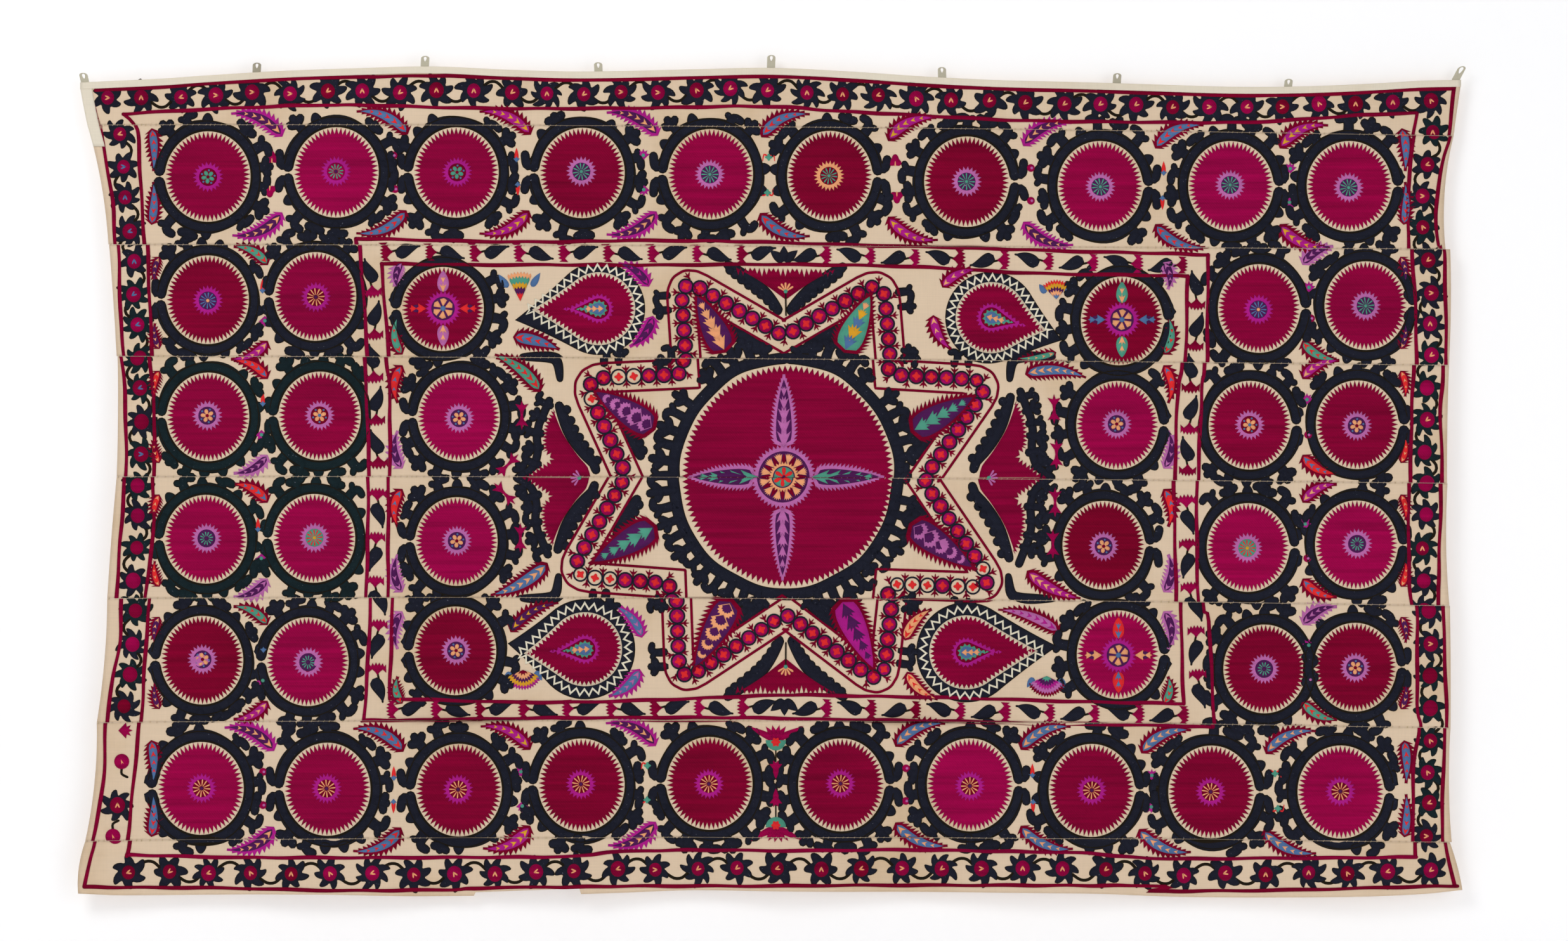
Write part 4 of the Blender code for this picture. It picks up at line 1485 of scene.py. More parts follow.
class SUZANI_OT_frame_band(bpy.types.Operator):
    """The inner frame's row of crimson tulips on dark stems with navy leaves"""

    bl_idname = "suzani.frame_band"
    bl_label = "Inner frame"

    def execute(self, context):
        threads = Threads()
        top = (-0.870 - 0.399j, 0.026 - 0.404j, 0.923 - 0.429j)
        low = (-0.857 - 1.391j, 0.026 - 1.386j, 0.925 - 1.404j)
        left = (-0.870 - 0.399j, -0.844 - 0.890j, -0.857 - 1.391j)
        right = (0.923 - 0.429j, 0.905 - 0.905j, 0.925 - 1.404j)
        rng = random.Random(41)
        for corner, middle, _ in (top, top[::-1], low, low[::-1]):
            self.run(threads, middle, corner, 9, rng)
        for corner, middle, _ in (left, left[::-1], right, right[::-1]):
            self.run(threads, corner, middle, 5, rng)
        for middle, way in ((top[1], 1), (low[1], -1)):
            self.middle_leaves(threads, middle, way)
        threads.sew("frame")
        return {"FINISHED"}

    def run(self, threads, start, end, count, rng):
        """Tulips in a row: each opens toward the end, with its stem and leaf behind it."""
        step = (end - start) / (count + 0.3)
        for number in range(count):
            at = start + step * (number + 0.95)
            self.tulip(threads, at, unit(step), number % 2 == 0, rng)

    def tulip(self, threads, at, way, upper, rng):
        fingers = 0.019 - 0.0038 * np.arange(11)
        comb = np.where(np.arange(11) % 2 == 0, 0.0130, 0.0062) - 0.004 * (fingers / 0.019) ** 2
        comb = comb + 1j * fingers
        back = [-0.010 - 0.0200j, -0.003 - 0.012j, -0.009 - 0.005j, -0.016 + 0j]
        back += [-0.009 + 0.005j, -0.003 + 0.012j, -0.010 + 0.0200j]
        shape = at + np.concatenate([comb, back]) * way * rng.uniform(0.92, 1.05)
        threads.lay(("crimson", "rose", rng.random()), [shape], 1)
        side = 1j if upper else -1j
        far = at - way * (0.073 + 0.013 * side)
        stem = smooth_path([at - way * 0.010, at - way * (0.038 + 0.007 * side), far], 0.005)
        threads.lay("outline", [stroke(stem, 0.0044, cap=2)], -1)
        near = at - way * (0.024 - 0.0105 * side)
        bend = 0.09 if upper else -0.09
        threads.lay_navy(lambda grow: [leaf(near, far, 0.0118 + grow, bend=bend, blunt=0.40, taper=0.95)])

    def middle_leaves(self, threads, middle, way):
        for side in (-1, 0, 1):
            base = middle - 0.016j * way
            tip = base + (0.034j * way if side == 0 else complex(0.030 * side, 0.024 * way))
            threads.lay_navy(lambda grow: [leaf(base, tip, 0.0085 + grow)])


# The star: the middle line of its band of beads, clockwise from the top left point
STAR = (
    -0.198 - 0.454j, 0.026 - 0.583j, 0.242 - 0.458j, 0.259 - 0.665j, 0.483 - 0.678j, 0.335 - 0.892j,
    0.494 - 1.127j, 0.263 - 1.119j, 0.239 - 1.341j, 0.030 - 1.182j, -0.201 - 1.335j, -0.209 - 1.118j,
    -0.432 - 1.101j, -0.308 - 0.887j, -0.404 - 0.674j, -0.184 - 0.664j,
)
BAND_HALF = 0.0315
BAND_LINE = 0.0056
POINT_CURVE = 0.050
BEAD_PITCH = 0.0325
BEAD_RADIUS = 0.0156
BEAD_RIM = 0.0036


def beside(path, distance):
    """A closed path beside another: rounded round its outer corners, and pointed elsewhere."""
    corners = []
    for before, here, after in zip((path[-1], *path[:-1]), path, (*path[1:], path[0])):
        first = 1j * unit(here - before)
        second = 1j * unit(after - here)
        opens = (second / first).imag < 0
        if opens and distance > 0:
            swing = cmath.phase(second / first)
            corners.extend(here + distance * first * cmath.exp(1j * swing * k / 5) for k in range(6))
        else:
            corners.append(here + distance * (first + second) / (1 + (first * second.conjugate()).real))
    return corners


def closed_path(corners, pitch):
    """A closed run of straight lines with a place about every pitch."""
    parts = []
    for here, after in zip(corners, (*corners[1:], corners[0])):
        parts.append(here + (after - here) * np.arange(0, 1, pitch / max(abs(after - here), pitch)))
    parts.append(np.array([corners[0]]))
    return np.concatenate(parts)


def rounded_star(outer_reach, inner_reach):
    """The star's corners as short curves: its points by one reach, its notches by another."""
    corners = []
    for number, here in enumerate(STAR):
        reach = inner_reach if number % 2 else outer_reach
        before, after = STAR[number - 1], STAR[(number + 1) % len(STAR)]
        first = here + unit(before - here) * reach
        last = here + unit(after - here) * reach
        for s in (0.0, 0.2, 0.4, 0.6, 0.8, 1.0):
            corners.append(first * (1 - s) ** 2 + 2 * s * (1 - s) * here + last * s * s)
    return corners


class SUZANI_OT_star(bpy.types.Operator):
    """The star's band: two crimson lines with a chain of beads and small sprigs between them"""

    bl_idname = "suzani.star"
    bl_label = "Star band"

    def execute(self, context):
        threads = Threads()
        rng = random.Random(57)
        for distance in (BAND_HALF, -BAND_HALF):
            corners = rounded_star(POINT_CURVE, 0.012) if distance > 0 else STAR
            path = closed_path(beside(corners, distance), 0.007)
            threads.lay("crimson", [stroke(path, BAND_LINE)], 0)
        chain = closed_path(rounded_star(POINT_CURVE, 0.020), 0.004)
        places = even_places(chain, int(np.abs(np.diff(chain)).sum() / BEAD_PITCH))
        for before, at, after in zip(np.roll(places, 1), places, np.roll(places, -1)):
            self.bead(threads, at, unit(after - before), abs(after - at), rng)
        threads.sew("star")
        return {"FINISHED"}

    def bead(self, threads, at, way, pitch, rng):
        radius = min(BEAD_RADIUS, pitch * 0.50) * rng.uniform(0.96, 1.05)
        rim = ellipse(at, radius, steps=18)
        rim = np.append(rim, rim[:1])
        threads.lay("navy", [stroke(rim, BEAD_RIM, cap=1)], 1)
        worn = (at.imag < -1.06 or at.imag > -0.74 and at.real < 0) and abs(at.real) > 0.28
        if not (worn and rng.random() < 0.6):
            threads.lay(("rose", "magenta", 0.35 * rng.random()), [ellipse(at, radius * 0.98, steps=16)], 0)
        heart = lobed(at, 0.0096, 4, 0.42, turn=cmath.phase(way) * 57.3 + rng.uniform(-12, 12), steps=5)
        threads.lay("red", [heart], 2)
        for side in (1j, -1j):
            foot = at + way * pitch * 0.5 + side * way * 0.0075
            for lean, length in ((-48, 0.0105), (0, 0.0175), (48, 0.0105)):
                out = side * way
                start = foot if lean == 0 else foot + out * 0.0065
                tip = start + out * turned(lean) * length
                ray = stroke(np.array([start, (start + tip) / 2, tip]), [0.0044, 0.0042, 0.0014], cap=1)
                threads.lay("crimson", [ray], 0)


def way_out(origin, way, path):
    """How far it is from a place, along a way, to a closed run of corners."""
    nearest = 9.0
    for here, after in zip(path, (*path[1:], path[0])):
        a, b = (here - origin) / way, (after - origin) / way
        if (a.imag > 0) != (b.imag > 0):
            at = a.real + (b.real - a.real) * a.imag / (a.imag - b.imag)
            if at > 0:
                nearest = min(nearest, at)
    return nearest


CENTRE = 0.0385 - 0.885j
CENTRE_ACROSS = 0.2290
CENTRE_UP = 0.2395
CENTRE_TEETH = 118
CENTRE_TOOTH = 0.056
CENTRE_RING = 1.068
CENTRE_RING_WIDTH = 0.022
LONGEST_BRANCH = 0.050
BRANCH_WIDTH = 0.0185
ROSETTE = 0.032 - 0.887j
# How far up a cone each of its marks stands, and its radius
CONE_MARKS = ((0.155, 0.0205), (0.31, 0.0225), (0.47, 0.0195), (0.62, 0.0150), (0.76, 0.0110))
Cone = namedtuple("Cone", "tip base ground mark kind")
CONES = (
    Cone(-0.166 - 0.487j, -0.100 - 0.618j, "plum", "peach", "fans"),
    Cone(0.216 - 0.487j, 0.156 - 0.618j, "teal", "gold", "patches"),
    Cone(-0.384 - 0.697j, -0.246 - 0.785j, "plum", "lilac", "scallops"),
    Cone(-0.386 - 1.076j, -0.240 - 0.992j, "plum", "teal", "fans"),
    Cone(0.451 - 0.709j, 0.306 - 0.790j, "plum", "teal", "fans"),
    Cone(0.452 - 1.089j, 0.306 - 0.988j, "plum", "lilac", "scallops"),
    Cone(-0.173 - 1.308j, -0.086 - 1.150j, "plum", "peach", "scallops"),
    Cone(0.223 - 1.311j, 0.148 - 1.150j, "magenta", "plum", "fans"),
)


def round_centre(drawn):
    """A shape drawn round a great round of radius 1, at its place and size."""
    return CENTRE + drawn.real * CENTRE_ACROSS + 1j * drawn.imag * CENTRE_UP


class SUZANI_OT_centre(bpy.types.Operator):
    """The great round with its ring, rosette and four petals, and the cone leaves in the star's points"""

    bl_idname = "suzani.centre"
    bl_label = "Centre and cones"

    def execute(self, context):
        threads = Threads()
        disc = round_centre(toothed(1.0, CENTRE_TEETH, CENTRE_TOOTH))
        threads.lay(("crimson", "rose", 0.35), [disc], 0, whole=True)
        self.ring(threads)
        self.rosette(threads)
        for cone in CONES:
            self.cone(threads, cone)
        threads.sew("centre")
        return {"FINISHED"}

    def ring(self, threads):
        rng = random.Random(91)
        angles = np.linspace(91.5, 448.5, 180)
        wobble = 0.006 * np.sin(np.radians(angles * 7)) + 0.004 * np.sin(np.radians(angles * 13))
        path = round_centre((CENTRE_RING + wobble) * np.exp(1j * np.radians(angles)))
        threads.navy_stroke(path, CENTRE_RING_WIDTH)
        inner_line = beside(STAR, -BAND_HALF)
        degrees = 96.0
        kind = 0
        while degrees < 446:
            kind += 1
            way = turned(degrees)
            start = CENTRE + complex(way.real * CENTRE_ACROSS, way.imag * CENTRE_UP) * 1.10
            room = way_out(start, way, inner_line) - 0.007
            degrees += rng.uniform(6.4, 7.6)
            if room < 0.012 or room > 0.5:
                continue
            length = min(room, LONGEST_BRANCH) * rng.uniform(0.86, 1.0)
            side, width = rng.choice((-1, 1)), BRANCH_WIDTH * rng.uniform(0.9, 1.1)
            shape = "hook" if kind % 2 else "trefoil"
            threads.lay_navy(lambda grow: branch(start, way, length, side, width, grow, shape))
        self.notch_flanks(threads)

    def notch_flanks(self, threads):
        """Scalloped navy bands along the inside of the star's four notches."""
        for k in (1, 5, 9, 13):
            notch = STAR[k]
            for other in (STAR[k - 1], STAR[(k + 1) % len(STAR)]):
                way = unit(other - notch)
                inward = 1j * way
                if ((CENTRE - notch) / way).imag < 0:
                    inward = -inward
                start = notch + inward * (BAND_HALF + 0.014) + way * 0.030
                path = start + way * np.linspace(0, 0.085, 12)
                width = 0.017 + 0.008 * np.sin(np.linspace(0, np.pi, 12))
                threads.navy_stroke(path, width)
                scallops = [start + way * spot + inward * 0.009 for spot in (0.008, 0.026, 0.044, 0.062)]
                threads.navy_dots(scallops, 0.0095, 14)

    def rosette(self, threads):
        petals = (
            (ROSETTE + 0.064j, ROSETTE + 0.222j, 0.0285, "plum", "lilac"),
            (ROSETTE - 0.066j, ROSETTE - 0.224j, 0.0260, "plum", "lilac"),
            (ROSETTE - 0.060, ROSETTE - 0.205, 0.0290, "plum", "teal"),
            (ROSETTE + 0.064, ROSETTE + 0.217, 0.0290, "plum", "teal"),
        )
        for base, tip, half, ground, mark in petals:
            edge = leaf(base, tip, half * 0.78, teeth=18, tooth=0.0085, blunt=0.22, taper=0.80)
            threads.lay("lilac", [edge], 1)
            reach = tip - base
            inside = leaf(base + reach * 0.04, base + reach * 0.93, half * 0.60, blunt=0.25, taper=0.80)
            threads.lay(ground, [inside], 2)
            for k, radius in enumerate((0.0250, 0.0240, 0.0215, 0.0175, 0.0130)):
                size = radius * half / 0.029
                shape = fan(base + reach * (0.10 + 0.165 * k), unit(reach), size, 4, 38, 0.45)
                threads.lay(mark, [shape], 3)
        threads.lay("lilac", [ROSETTE + toothed(0.0705, 46, 0.0085)], 2)
        threads.lay("plum", [ellipse(ROSETTE, 0.0555, steps=40)], 3)
        for k in range(12):
            way = turned(15 + 30 * k)
            threads.lay("peach", [fan(ROSETTE + way * 0.0375, way, 0.0150, 5, 38, 0.34)], 4)
            spoke = leaf(ROSETTE + way * turned(15) * 0.022, ROSETTE + way * turned(15) * 0.050, 0.0048)
            threads.lay("crimson", [spoke], 4)
        threads.lay("peach", [ROSETTE + toothed(0.0335, 30, 0.006)], 5)
        threads.lay("plum", [ellipse(ROSETTE, 0.0240)], 6)
        threads.lay("teal", [ellipse(ROSETTE, 0.0215)], 7)
        red = [petal(ROSETTE, turned(30 + 60 * k), 0.002, 0.0170, 0.0085) for k in range(6)]
        threads.lay("red", red, 8)
        threads.lay("plum", [ellipse(ROSETTE, 0.0036, steps=10)], 9)

    def cone(self, threads, cone):
        """A cone leaf: crimson teeth, a ground, and fans, scallops or patches up its middle."""
        edge = leaf(cone.base, cone.tip, 0.0315, teeth=17, tooth=0.0125, blunt=0.28, taper=0.85)
        threads.lay("crimson", [edge], 1)
        reach = cone.tip - cone.base
        inside = leaf(cone.base + reach * 0.05, cone.base + reach * 0.93, 0.0275, blunt=0.30, taper=0.85)
        threads.lay(cone.ground, [inside], 2)
        way = unit(reach)
        for k, (share, radius) in enumerate(CONE_MARKS):
            at = cone.base + reach * share
            dye = cone.mark
            shape = fan(at, way, radius, 5, 50, 0.40)
            if cone.kind == "scallops":
                shape = fan(at, way, radius, 9, 88, 0.22)
            if cone.kind == "patches":
                dye = ("blue", "gold", "blue", "gold", "peach")[k]
            threads.lay(dye, [shape], 3)
            if cone.kind == "scallops":
                threads.lay(cone.ground, [fan(at - way * 0.004, way, radius * 0.62, 7, 88, 0.2)], 4)


Paisley = namedtuple("Paisley", "heart tip radius field_tip field crescent")
PAISLEYS = (
    Paisley(
        -0.375 - 0.5225j, -0.5535 - 0.547j, 0.0985, -0.5156 - 0.525j, 0.078, ("magenta", "plum", "magenta"),
    ),
    Paisley(
        -0.4055 - 1.260j, -0.570 - 1.248j, 0.1065, -0.5346 - 1.269j, 0.079, ("magenta", "blue", "lilac"),
    ),
    Paisley(0.420 - 1.267j, 0.6138 - 1.254j, 0.1065, 0.5705 - 1.264j, 0.079, ("crimson", "peach", "red")),
    Paisley(
        0.475 - 0.542j, 0.6256 - 0.590j, 0.0975, 0.5905 - 0.569j, 0.076, ("crimson", "magenta", "peach"),
    ),
)


def drop(heart, tip, radius, steps=40):
    """A round that draws out to a tip along two straight sides."""
    reach = abs(tip - heart)
    open_angle = math.acos(min(radius / reach, 0.95))
    round_part = radius * np.exp(1j * np.linspace(open_angle, 2 * math.pi - open_angle, steps))
    t = np.linspace(0, 1, 9)[1:-1]
    sag = 0.10 * radius * t * (1 - t)
    lower = round_part[-1] * (1 - t) + reach * t + 1j * sag
    upper = reach * (1 - t) + round_part[0] * t - 1j * sag
    return heart + (tip - heart) / reach * np.concatenate([round_part, lower, [reach], upper])


def even_places(outline, count):
    """Places at even steps along a closed outline."""
    ring = np.append(outline, outline[:1])
    run = run_along(ring)
    return places_on(ring, run, np.linspace(0, run[-1], count + 1)[:-1])


def toothed_edge(outline, teeth, depth):
    """A closed outline with pointed teeth round it, whose tips lie on the outline."""
    places = even_places(outline, 2 * teeth)
    ahead = np.roll(places, -1) - np.roll(places, 1)
    inward = 1j * ahead / np.abs(ahead)
    return places + inward * np.where(np.arange(2 * teeth) % 2 == 0, 0.0, depth)


ZIGZAG_TURNS = 68
ZIGZAG_REACH = 0.0072
ZIGZAG_WIDTH = 0.0036


class SUZANI_OT_paisleys(bpy.types.Operator):
    """The four drop shapes with their ivory zigzag, between the star and the frame's corners"""

    bl_idname = "suzani.paisleys"
    bl_label = "Drops with a zigzag"

    def execute(self, context):
        threads = Threads()
        for paisley in PAISLEYS:
            self.drop_shape(threads, paisley)
        threads.sew("drops")
        return {"FINISHED"}

    def drop_shape(self, threads, paisley):
        heart, tip = paisley.heart, paisley.tip
        way = unit(tip - heart)
        threads.lay_navy(lambda grow: [drop(heart, tip + way * 1.6 * grow, paisley.radius + grow)])
        out = paisley.field_tip - heart
        threads.lay(("cream", "cotton", 0.7), [drop(heart, heart + out * 1.03, paisley.field + 0.0012)], 1)
        field = toothed_edge(drop(heart, paisley.field_tip, paisley.field), 56, 0.0095)
        threads.lay(("crimson", "rose", 0.3), [field], 2)
        between = (paisley.radius + paisley.field + 0.0018) / 2
        middle = even_places(drop(heart, heart + out * 1.13, between), ZIGZAG_TURNS)
        ahead = np.roll(middle, -1) - np.roll(middle, 1)
        sway = np.where(np.arange(ZIGZAG_TURNS) % 2 == 0, ZIGZAG_REACH, -ZIGZAG_REACH)
        zigzag = middle + 1j * unit(ahead) * sway
        threads.lay("cream", [self.ribbon(np.append(zigzag, zigzag[:1]), ZIGZAG_WIDTH)], 2)
        small = unit(out)
        rim = drop(heart, heart + small * 0.078, 0.0335, 24)
        threads.lay("magenta", [toothed_edge(rim, 27, 0.0065)], 3)
        threads.lay("crimson", [drop(heart, heart + small * 0.054, 0.0225, 20)], 4)
        threads.lay("teal", [toothed_edge(drop(heart, heart + small * 0.050, 0.0195, 18), 15, 0.0050)], 5)
        threads.lay("blue", [drop(heart, heart + small * 0.034, 0.0130, 14)], 6)
        fans = [fan(heart + small * share, small, 0.0085, 3) for share in (-0.004, 0.009, 0.021)]
        threads.lay("peach", fans, 7)

    def ribbon(self, path, width):
        """A band of even width along a path with sharp corners."""
        ahead = np.diff(path)
        ahead = ahead / np.abs(ahead)
        first = np.concatenate([ahead[-1:], ahead])
        second = np.concatenate([ahead, ahead[:1]])
        square = 1j * (first + second) / np.maximum(1 + (first * second.conj()).real, 0.35)
        return np.concatenate([path + square * width / 2, (path - square * width / 2)[::-1]])


Curtain = namedtuple("Curtain", "left right apex crown")
CURTAINS = (
    Curtain(-0.078 - 0.433j, 0.136 - 0.437j, 0.030 - 0.503j, 0.027 - 0.524j),
    Curtain(-0.080 - 1.357j, 0.137 - 1.357j, 0.029 - 1.280j, 0.029 - 1.243j),
)
# The left wing from its upper horn: down its hollow side to the seam, and its toothed side back up
WING_FLANK = (
    -0.468 - 0.740j, -0.456 - 0.772j, -0.442 - 0.801j, -0.415 - 0.840j, -0.393 - 0.866j, -0.387 - 0.888j,
)
WING_TEETH = (
    -0.532 - 0.888j, -0.501 - 0.866j, -0.474 - 0.848j, -0.489 - 0.832j, -0.491 - 0.800j, -0.486 - 0.772j,
    -0.475 - 0.749j, -0.468 - 0.740j,
)
WING_MIDDLE = 0.034
WING_SEAM = -0.8885
RIGHT_WING_TALLER = 1.12
# The dark sweep over each side point of the star, from the middle between the wings
SWEEP = (-0.574 + 0.262j, -0.514 + 0.261j, -0.493 + 0.250j, -0.487 + 0.214j)


class SUZANI_OT_notch_fields(bpy.types.Operator):
    """The crimson fields and wings in the star's four notches, with their navy edges and sprigs"""

    bl_idname = "suzani.notch_fields"
    bl_label = "Notch fields"

    def execute(self, context):
        threads = Threads()
        for curtain in CURTAINS:
            self.field(threads, curtain)
        rng = random.Random(64)
        for side in (1, -1):
            self.wing(threads, side, rng)
        for k in (1, 5, 9, 13):
            self.star_edge(threads, k, rng)
        for across in (1, -1):
            for up in (1, -1):
                corner = complex(WING_MIDDLE, WING_SEAM)
                sweep = smooth_path(SWEEP, 0.006)
                sweep = corner + across * sweep.real + 1j * up * sweep.imag
                swell = 0.008 + 0.012 * np.sin(np.linspace(0.2, 2.9, len(sweep)))
                threads.navy_stroke(sweep, swell)
        threads.sew("fields")
        return {"FINISHED"}

    def field(self, threads, curtain):
        """A field above or below the star: a toothed side, a band down each slope, and a sprig."""
        left, right, apex = curtain.left, curtain.right, curtain.apex
        toward = unit(apex - (left + right) / 2)
        count = int(abs(right - left) / 0.0098)
        steps = np.arange(2 * count + 1)
        inset = 0.013 + 0.006 * np.sin(steps * 0.7)
        edge = left + (right - left) * steps / (2 * count) + toward * np.where(steps % 2 == 1, inset, 0.0)
        body = np.concatenate([edge, smooth_path([right, (right + apex) / 2 - toward * 0.004, apex], 0.01)])
        body = np.concatenate([body, smooth_path([apex, (left + apex) / 2 - toward * 0.004, left], 0.01)])
        threads.lay(("crimson", "rose", 0.2), [body], 1)
        for corner in (left, right):
            out = unit(corner - apex)
            aside = 0.012 * (1 if out.real > 0 else -1)
            stations = [curtain.crown + aside, (apex + corner) / 2 + toward * 0.013]
            path = smooth_path([*stations, corner + out * 0.020 + toward * 0.006], 0.008)
            swell = 0.012 + 0.015 * np.sin(np.linspace(0.1, 2.8, len(path)))
            threads.navy_stroke(path, swell)
            threads.navy_dots(path[1:-1:2] + toward * swell[1:-1:2] * 0.42, 0.0085, 12)
        self.bloom(threads, apex - toward * 0.018, -toward, "peach")
        stem = stroke(np.linspace(apex - toward * 0.014, apex + toward * 0.034, 6), 0.0034, cap=2)
        threads.lay("outline", [stem], 2)

    def bloom(self, threads, at, way, dye):
        rays = [petal(at, way * turned(lean), 0.002, 0.0175, 0.0044) for lean in (-58, -29, 0, 29, 58)]
        threads.lay(dye, rays, 2)
        threads.lay("teal", [ellipse(at, 0.0044, steps=10)], 3)

    def wing(self, threads, side, rng):
        """A crimson wing beside the star with a navy edge all round and hooks on its outer side."""

        def placed(path):
            if side > 0:
                return path
            height = WING_SEAM + (path.imag - WING_SEAM) * RIGHT_WING_TALLER
            return 2 * WING_MIDDLE - path.real + 1j * height

        def below(path):
            return path.real + 1j * (2 * WING_SEAM - path.imag)

        flank = smooth_path(WING_FLANK, 0.010)
        comb = smooth_path(WING_TEETH, 0.0042)
        comb = comb - 1j * unit(np.gradient(comb)) * np.where(np.arange(len(comb)) % 2 == 1, 0.0095, 0.0)
        upper = np.concatenate([flank, comb[:-1]])
        for half in (upper, below(upper)):
            threads.lay(("crimson", "rose", 0.35), [placed(half)], 1)
        outer = [spot - 0.011 for spot in WING_TEETH[:2]] + [spot - 0.012 for spot in WING_TEETH[3:6]]
        outer = np.append(smooth_path(outer, 0.008), -0.476 - 0.722j)
        band = flank[:-1] + 0.0135 + 0.007j
        swell = 0.016 + 0.010 * np.sin(np.linspace(0, np.pi, len(band)))
        for turn in (lambda path: path, below):
            edge, hollow = placed(turn(outer)), placed(turn(band))
            threads.navy_stroke(edge, 0.0145)
            threads.navy_stroke(hollow, swell)
            threads.navy_dots(hollow[1:-1:2] + side * 0.013, 0.0085, 12)
            outward = edge if (edge[-1] - edge[0]).imag * side > 0 else edge[::-1]
            fringe(threads, outward, 0.030, 0.0155, 0.031, rng)
        at = placed(np.array([-0.408 - 0.889j]))[0]
        self.bloom(threads, at, -side, "lilac")

    def star_edge(self, threads, k, rng):
        """Hooks along the outer side of the star, on both sides of a square corner."""
        corner = STAR[(k + 2) % 16]
        for end in (STAR[(k + 1) % 16], STAR[(k + 3) % 16]):
            way = unit(end - corner)
            away = 1j * way if ((corner - CENTRE) / way).imag > 0 else -1j * way
            for start, stop in ((0.018, 0.050), (0.128, 0.190)):
                path = corner + away * (BAND_HALF + 0.006) + way * np.linspace(start, stop, 8)
                fringe(threads, path if (away / way).imag > 0 else path[::-1], 0.026, 0.0155, 0.031, rng)


# The gap in the lowest row that has crowns instead of leaves
CROWN_GAP = 4
Leaf = namedtuple("Leaf", "base tip half bend edge ground mark")
SIDE_SCHEMES = (
    ("crimson", "magenta", "peach"), ("crimson", "teal", "red"),
    ("lilac", "plum", "lilac"), ("crimson", "red", "blue"),
)


@functools.cache
def leaf_places():
    """Every serrated leaf: those between the medallions by rule, and the rest from a short table."""
    leaves = []
    schemes = (("magenta", "plum", "peach"), ("crimson", "blue", "red"), ("crimson", "magenta", "gold"))
    for row in (TOP_ROW, LOW_ROW):
        for number, (first, second) in enumerate(zip(row, row[1:])):
            x = (first.x + second.x) / 2
            z = (first.z + second.z) / 2
            away = -1 if x < 0 else 1
            if row is LOW_ROW and number == CROWN_GAP:
                continue
            edge, ground, mark = schemes[number % 3]
            if row is LOW_ROW and number > CROWN_GAP:
                edge, ground, mark = "crimson", "blue", "peach"
            for up in (1, -1):
                base = complex(x - 0.022 * away, z + 0.082 * up)
                tip = complex(x + 0.086 * away, z + 0.132 * up)
                leaves.append(Leaf(base, tip, 0.0135, 0.15 * away * up, edge, ground, mark))
    for z, red in ((-0.510, 0), (-0.757, 1), (-1.025, 1), (-1.290, 0)):
        for middle, away in ((-1.100, -1), (1.165, 1)):
            for up in (1, -1):
                base = complex(middle - 0.012 * away, z + 0.082 * up)
                tip = complex(middle + 0.062 * away, z + 0.122 * up)
                scheme = SIDE_SCHEMES[(2 * red + (up > 0) + (away > 0)) % 4]
                leaves.append(Leaf(base, tip, 0.0120, 0.14 * away * up, *scheme))
        for x, away in ((-0.800, -1), (0.856, 1)):
            for up in (1, -1):
                far = 0.112 if -1.2 < z < -0.6 or (up > 0) == (z < -1) else 0.088
                base = complex(x - 0.004 * away, z + far * up)
                tip = complex(x + 0.006 * away, z + 0.030 * up)
                scheme = SIDE_SCHEMES[(red + (up > 0) + 1) % 4]
                leaves.append(Leaf(base, tip, 0.0110, 0.16 * away * up, *scheme))
        for x, away in ((-1.322, -1), (1.365, 1)):
            for up in (1, -1):
                base = complex(x, z + 0.100 * up)
                tip = complex(x + 0.010 * away, z + 0.045 * up)
                ground = "red" if red else "plum"
                leaves.append(Leaf(base, tip, 0.0080, 0.10 * away * up, "crimson", ground, "peach"))
    for z in (-0.236, -1.562):
        for x in (-1.340, 1.372):
            for up in (1, -1):
                base, tip = complex(x, z + 0.105 * up), complex(x + 0.004, z + 0.012 * up)
                leaves.append(Leaf(base, tip, 0.0120, 0.04 * up, "crimson", "blue", "red"))
    for paisley in PAISLEYS:
        back = unit(paisley.heart - paisley.tip)
        for up in (1, -1):
            base = paisley.heart + back * turned(15 * up) * (paisley.radius + 0.024)
            tip = paisley.heart + back * turned(57 * up) * (paisley.radius + 0.010)
            leaves.append(Leaf(base, tip, 0.0125, -0.125 * up, *paisley.crescent))
    leaves.extend(FIELD_LEAVES)
    return leaves


@functools.cache
def filler_places():
    """Where the small fillings stand between the medallions, and which way is up for each."""
    places = []
    for row in (TOP_ROW, LOW_ROW):
        for number, (first, second) in enumerate(zip(row, row[1:])):
            middle = complex((first.x + second.x) / 2, (first.z + second.z) / 2)
            if first.z > -1 or number != CROWN_GAP:
                places.extend((middle + 0.037j * up, (number + (first.z < -1)) % 5) for up in (1, -1))
    for z in (-0.510, -0.757, -1.025, -1.290):
        for number, x in enumerate((-1.100, 1.165)):
            places.extend((complex(x, z + 0.036 * up), 1 + (number + up) % 3) for up in (1, -1))
    return places


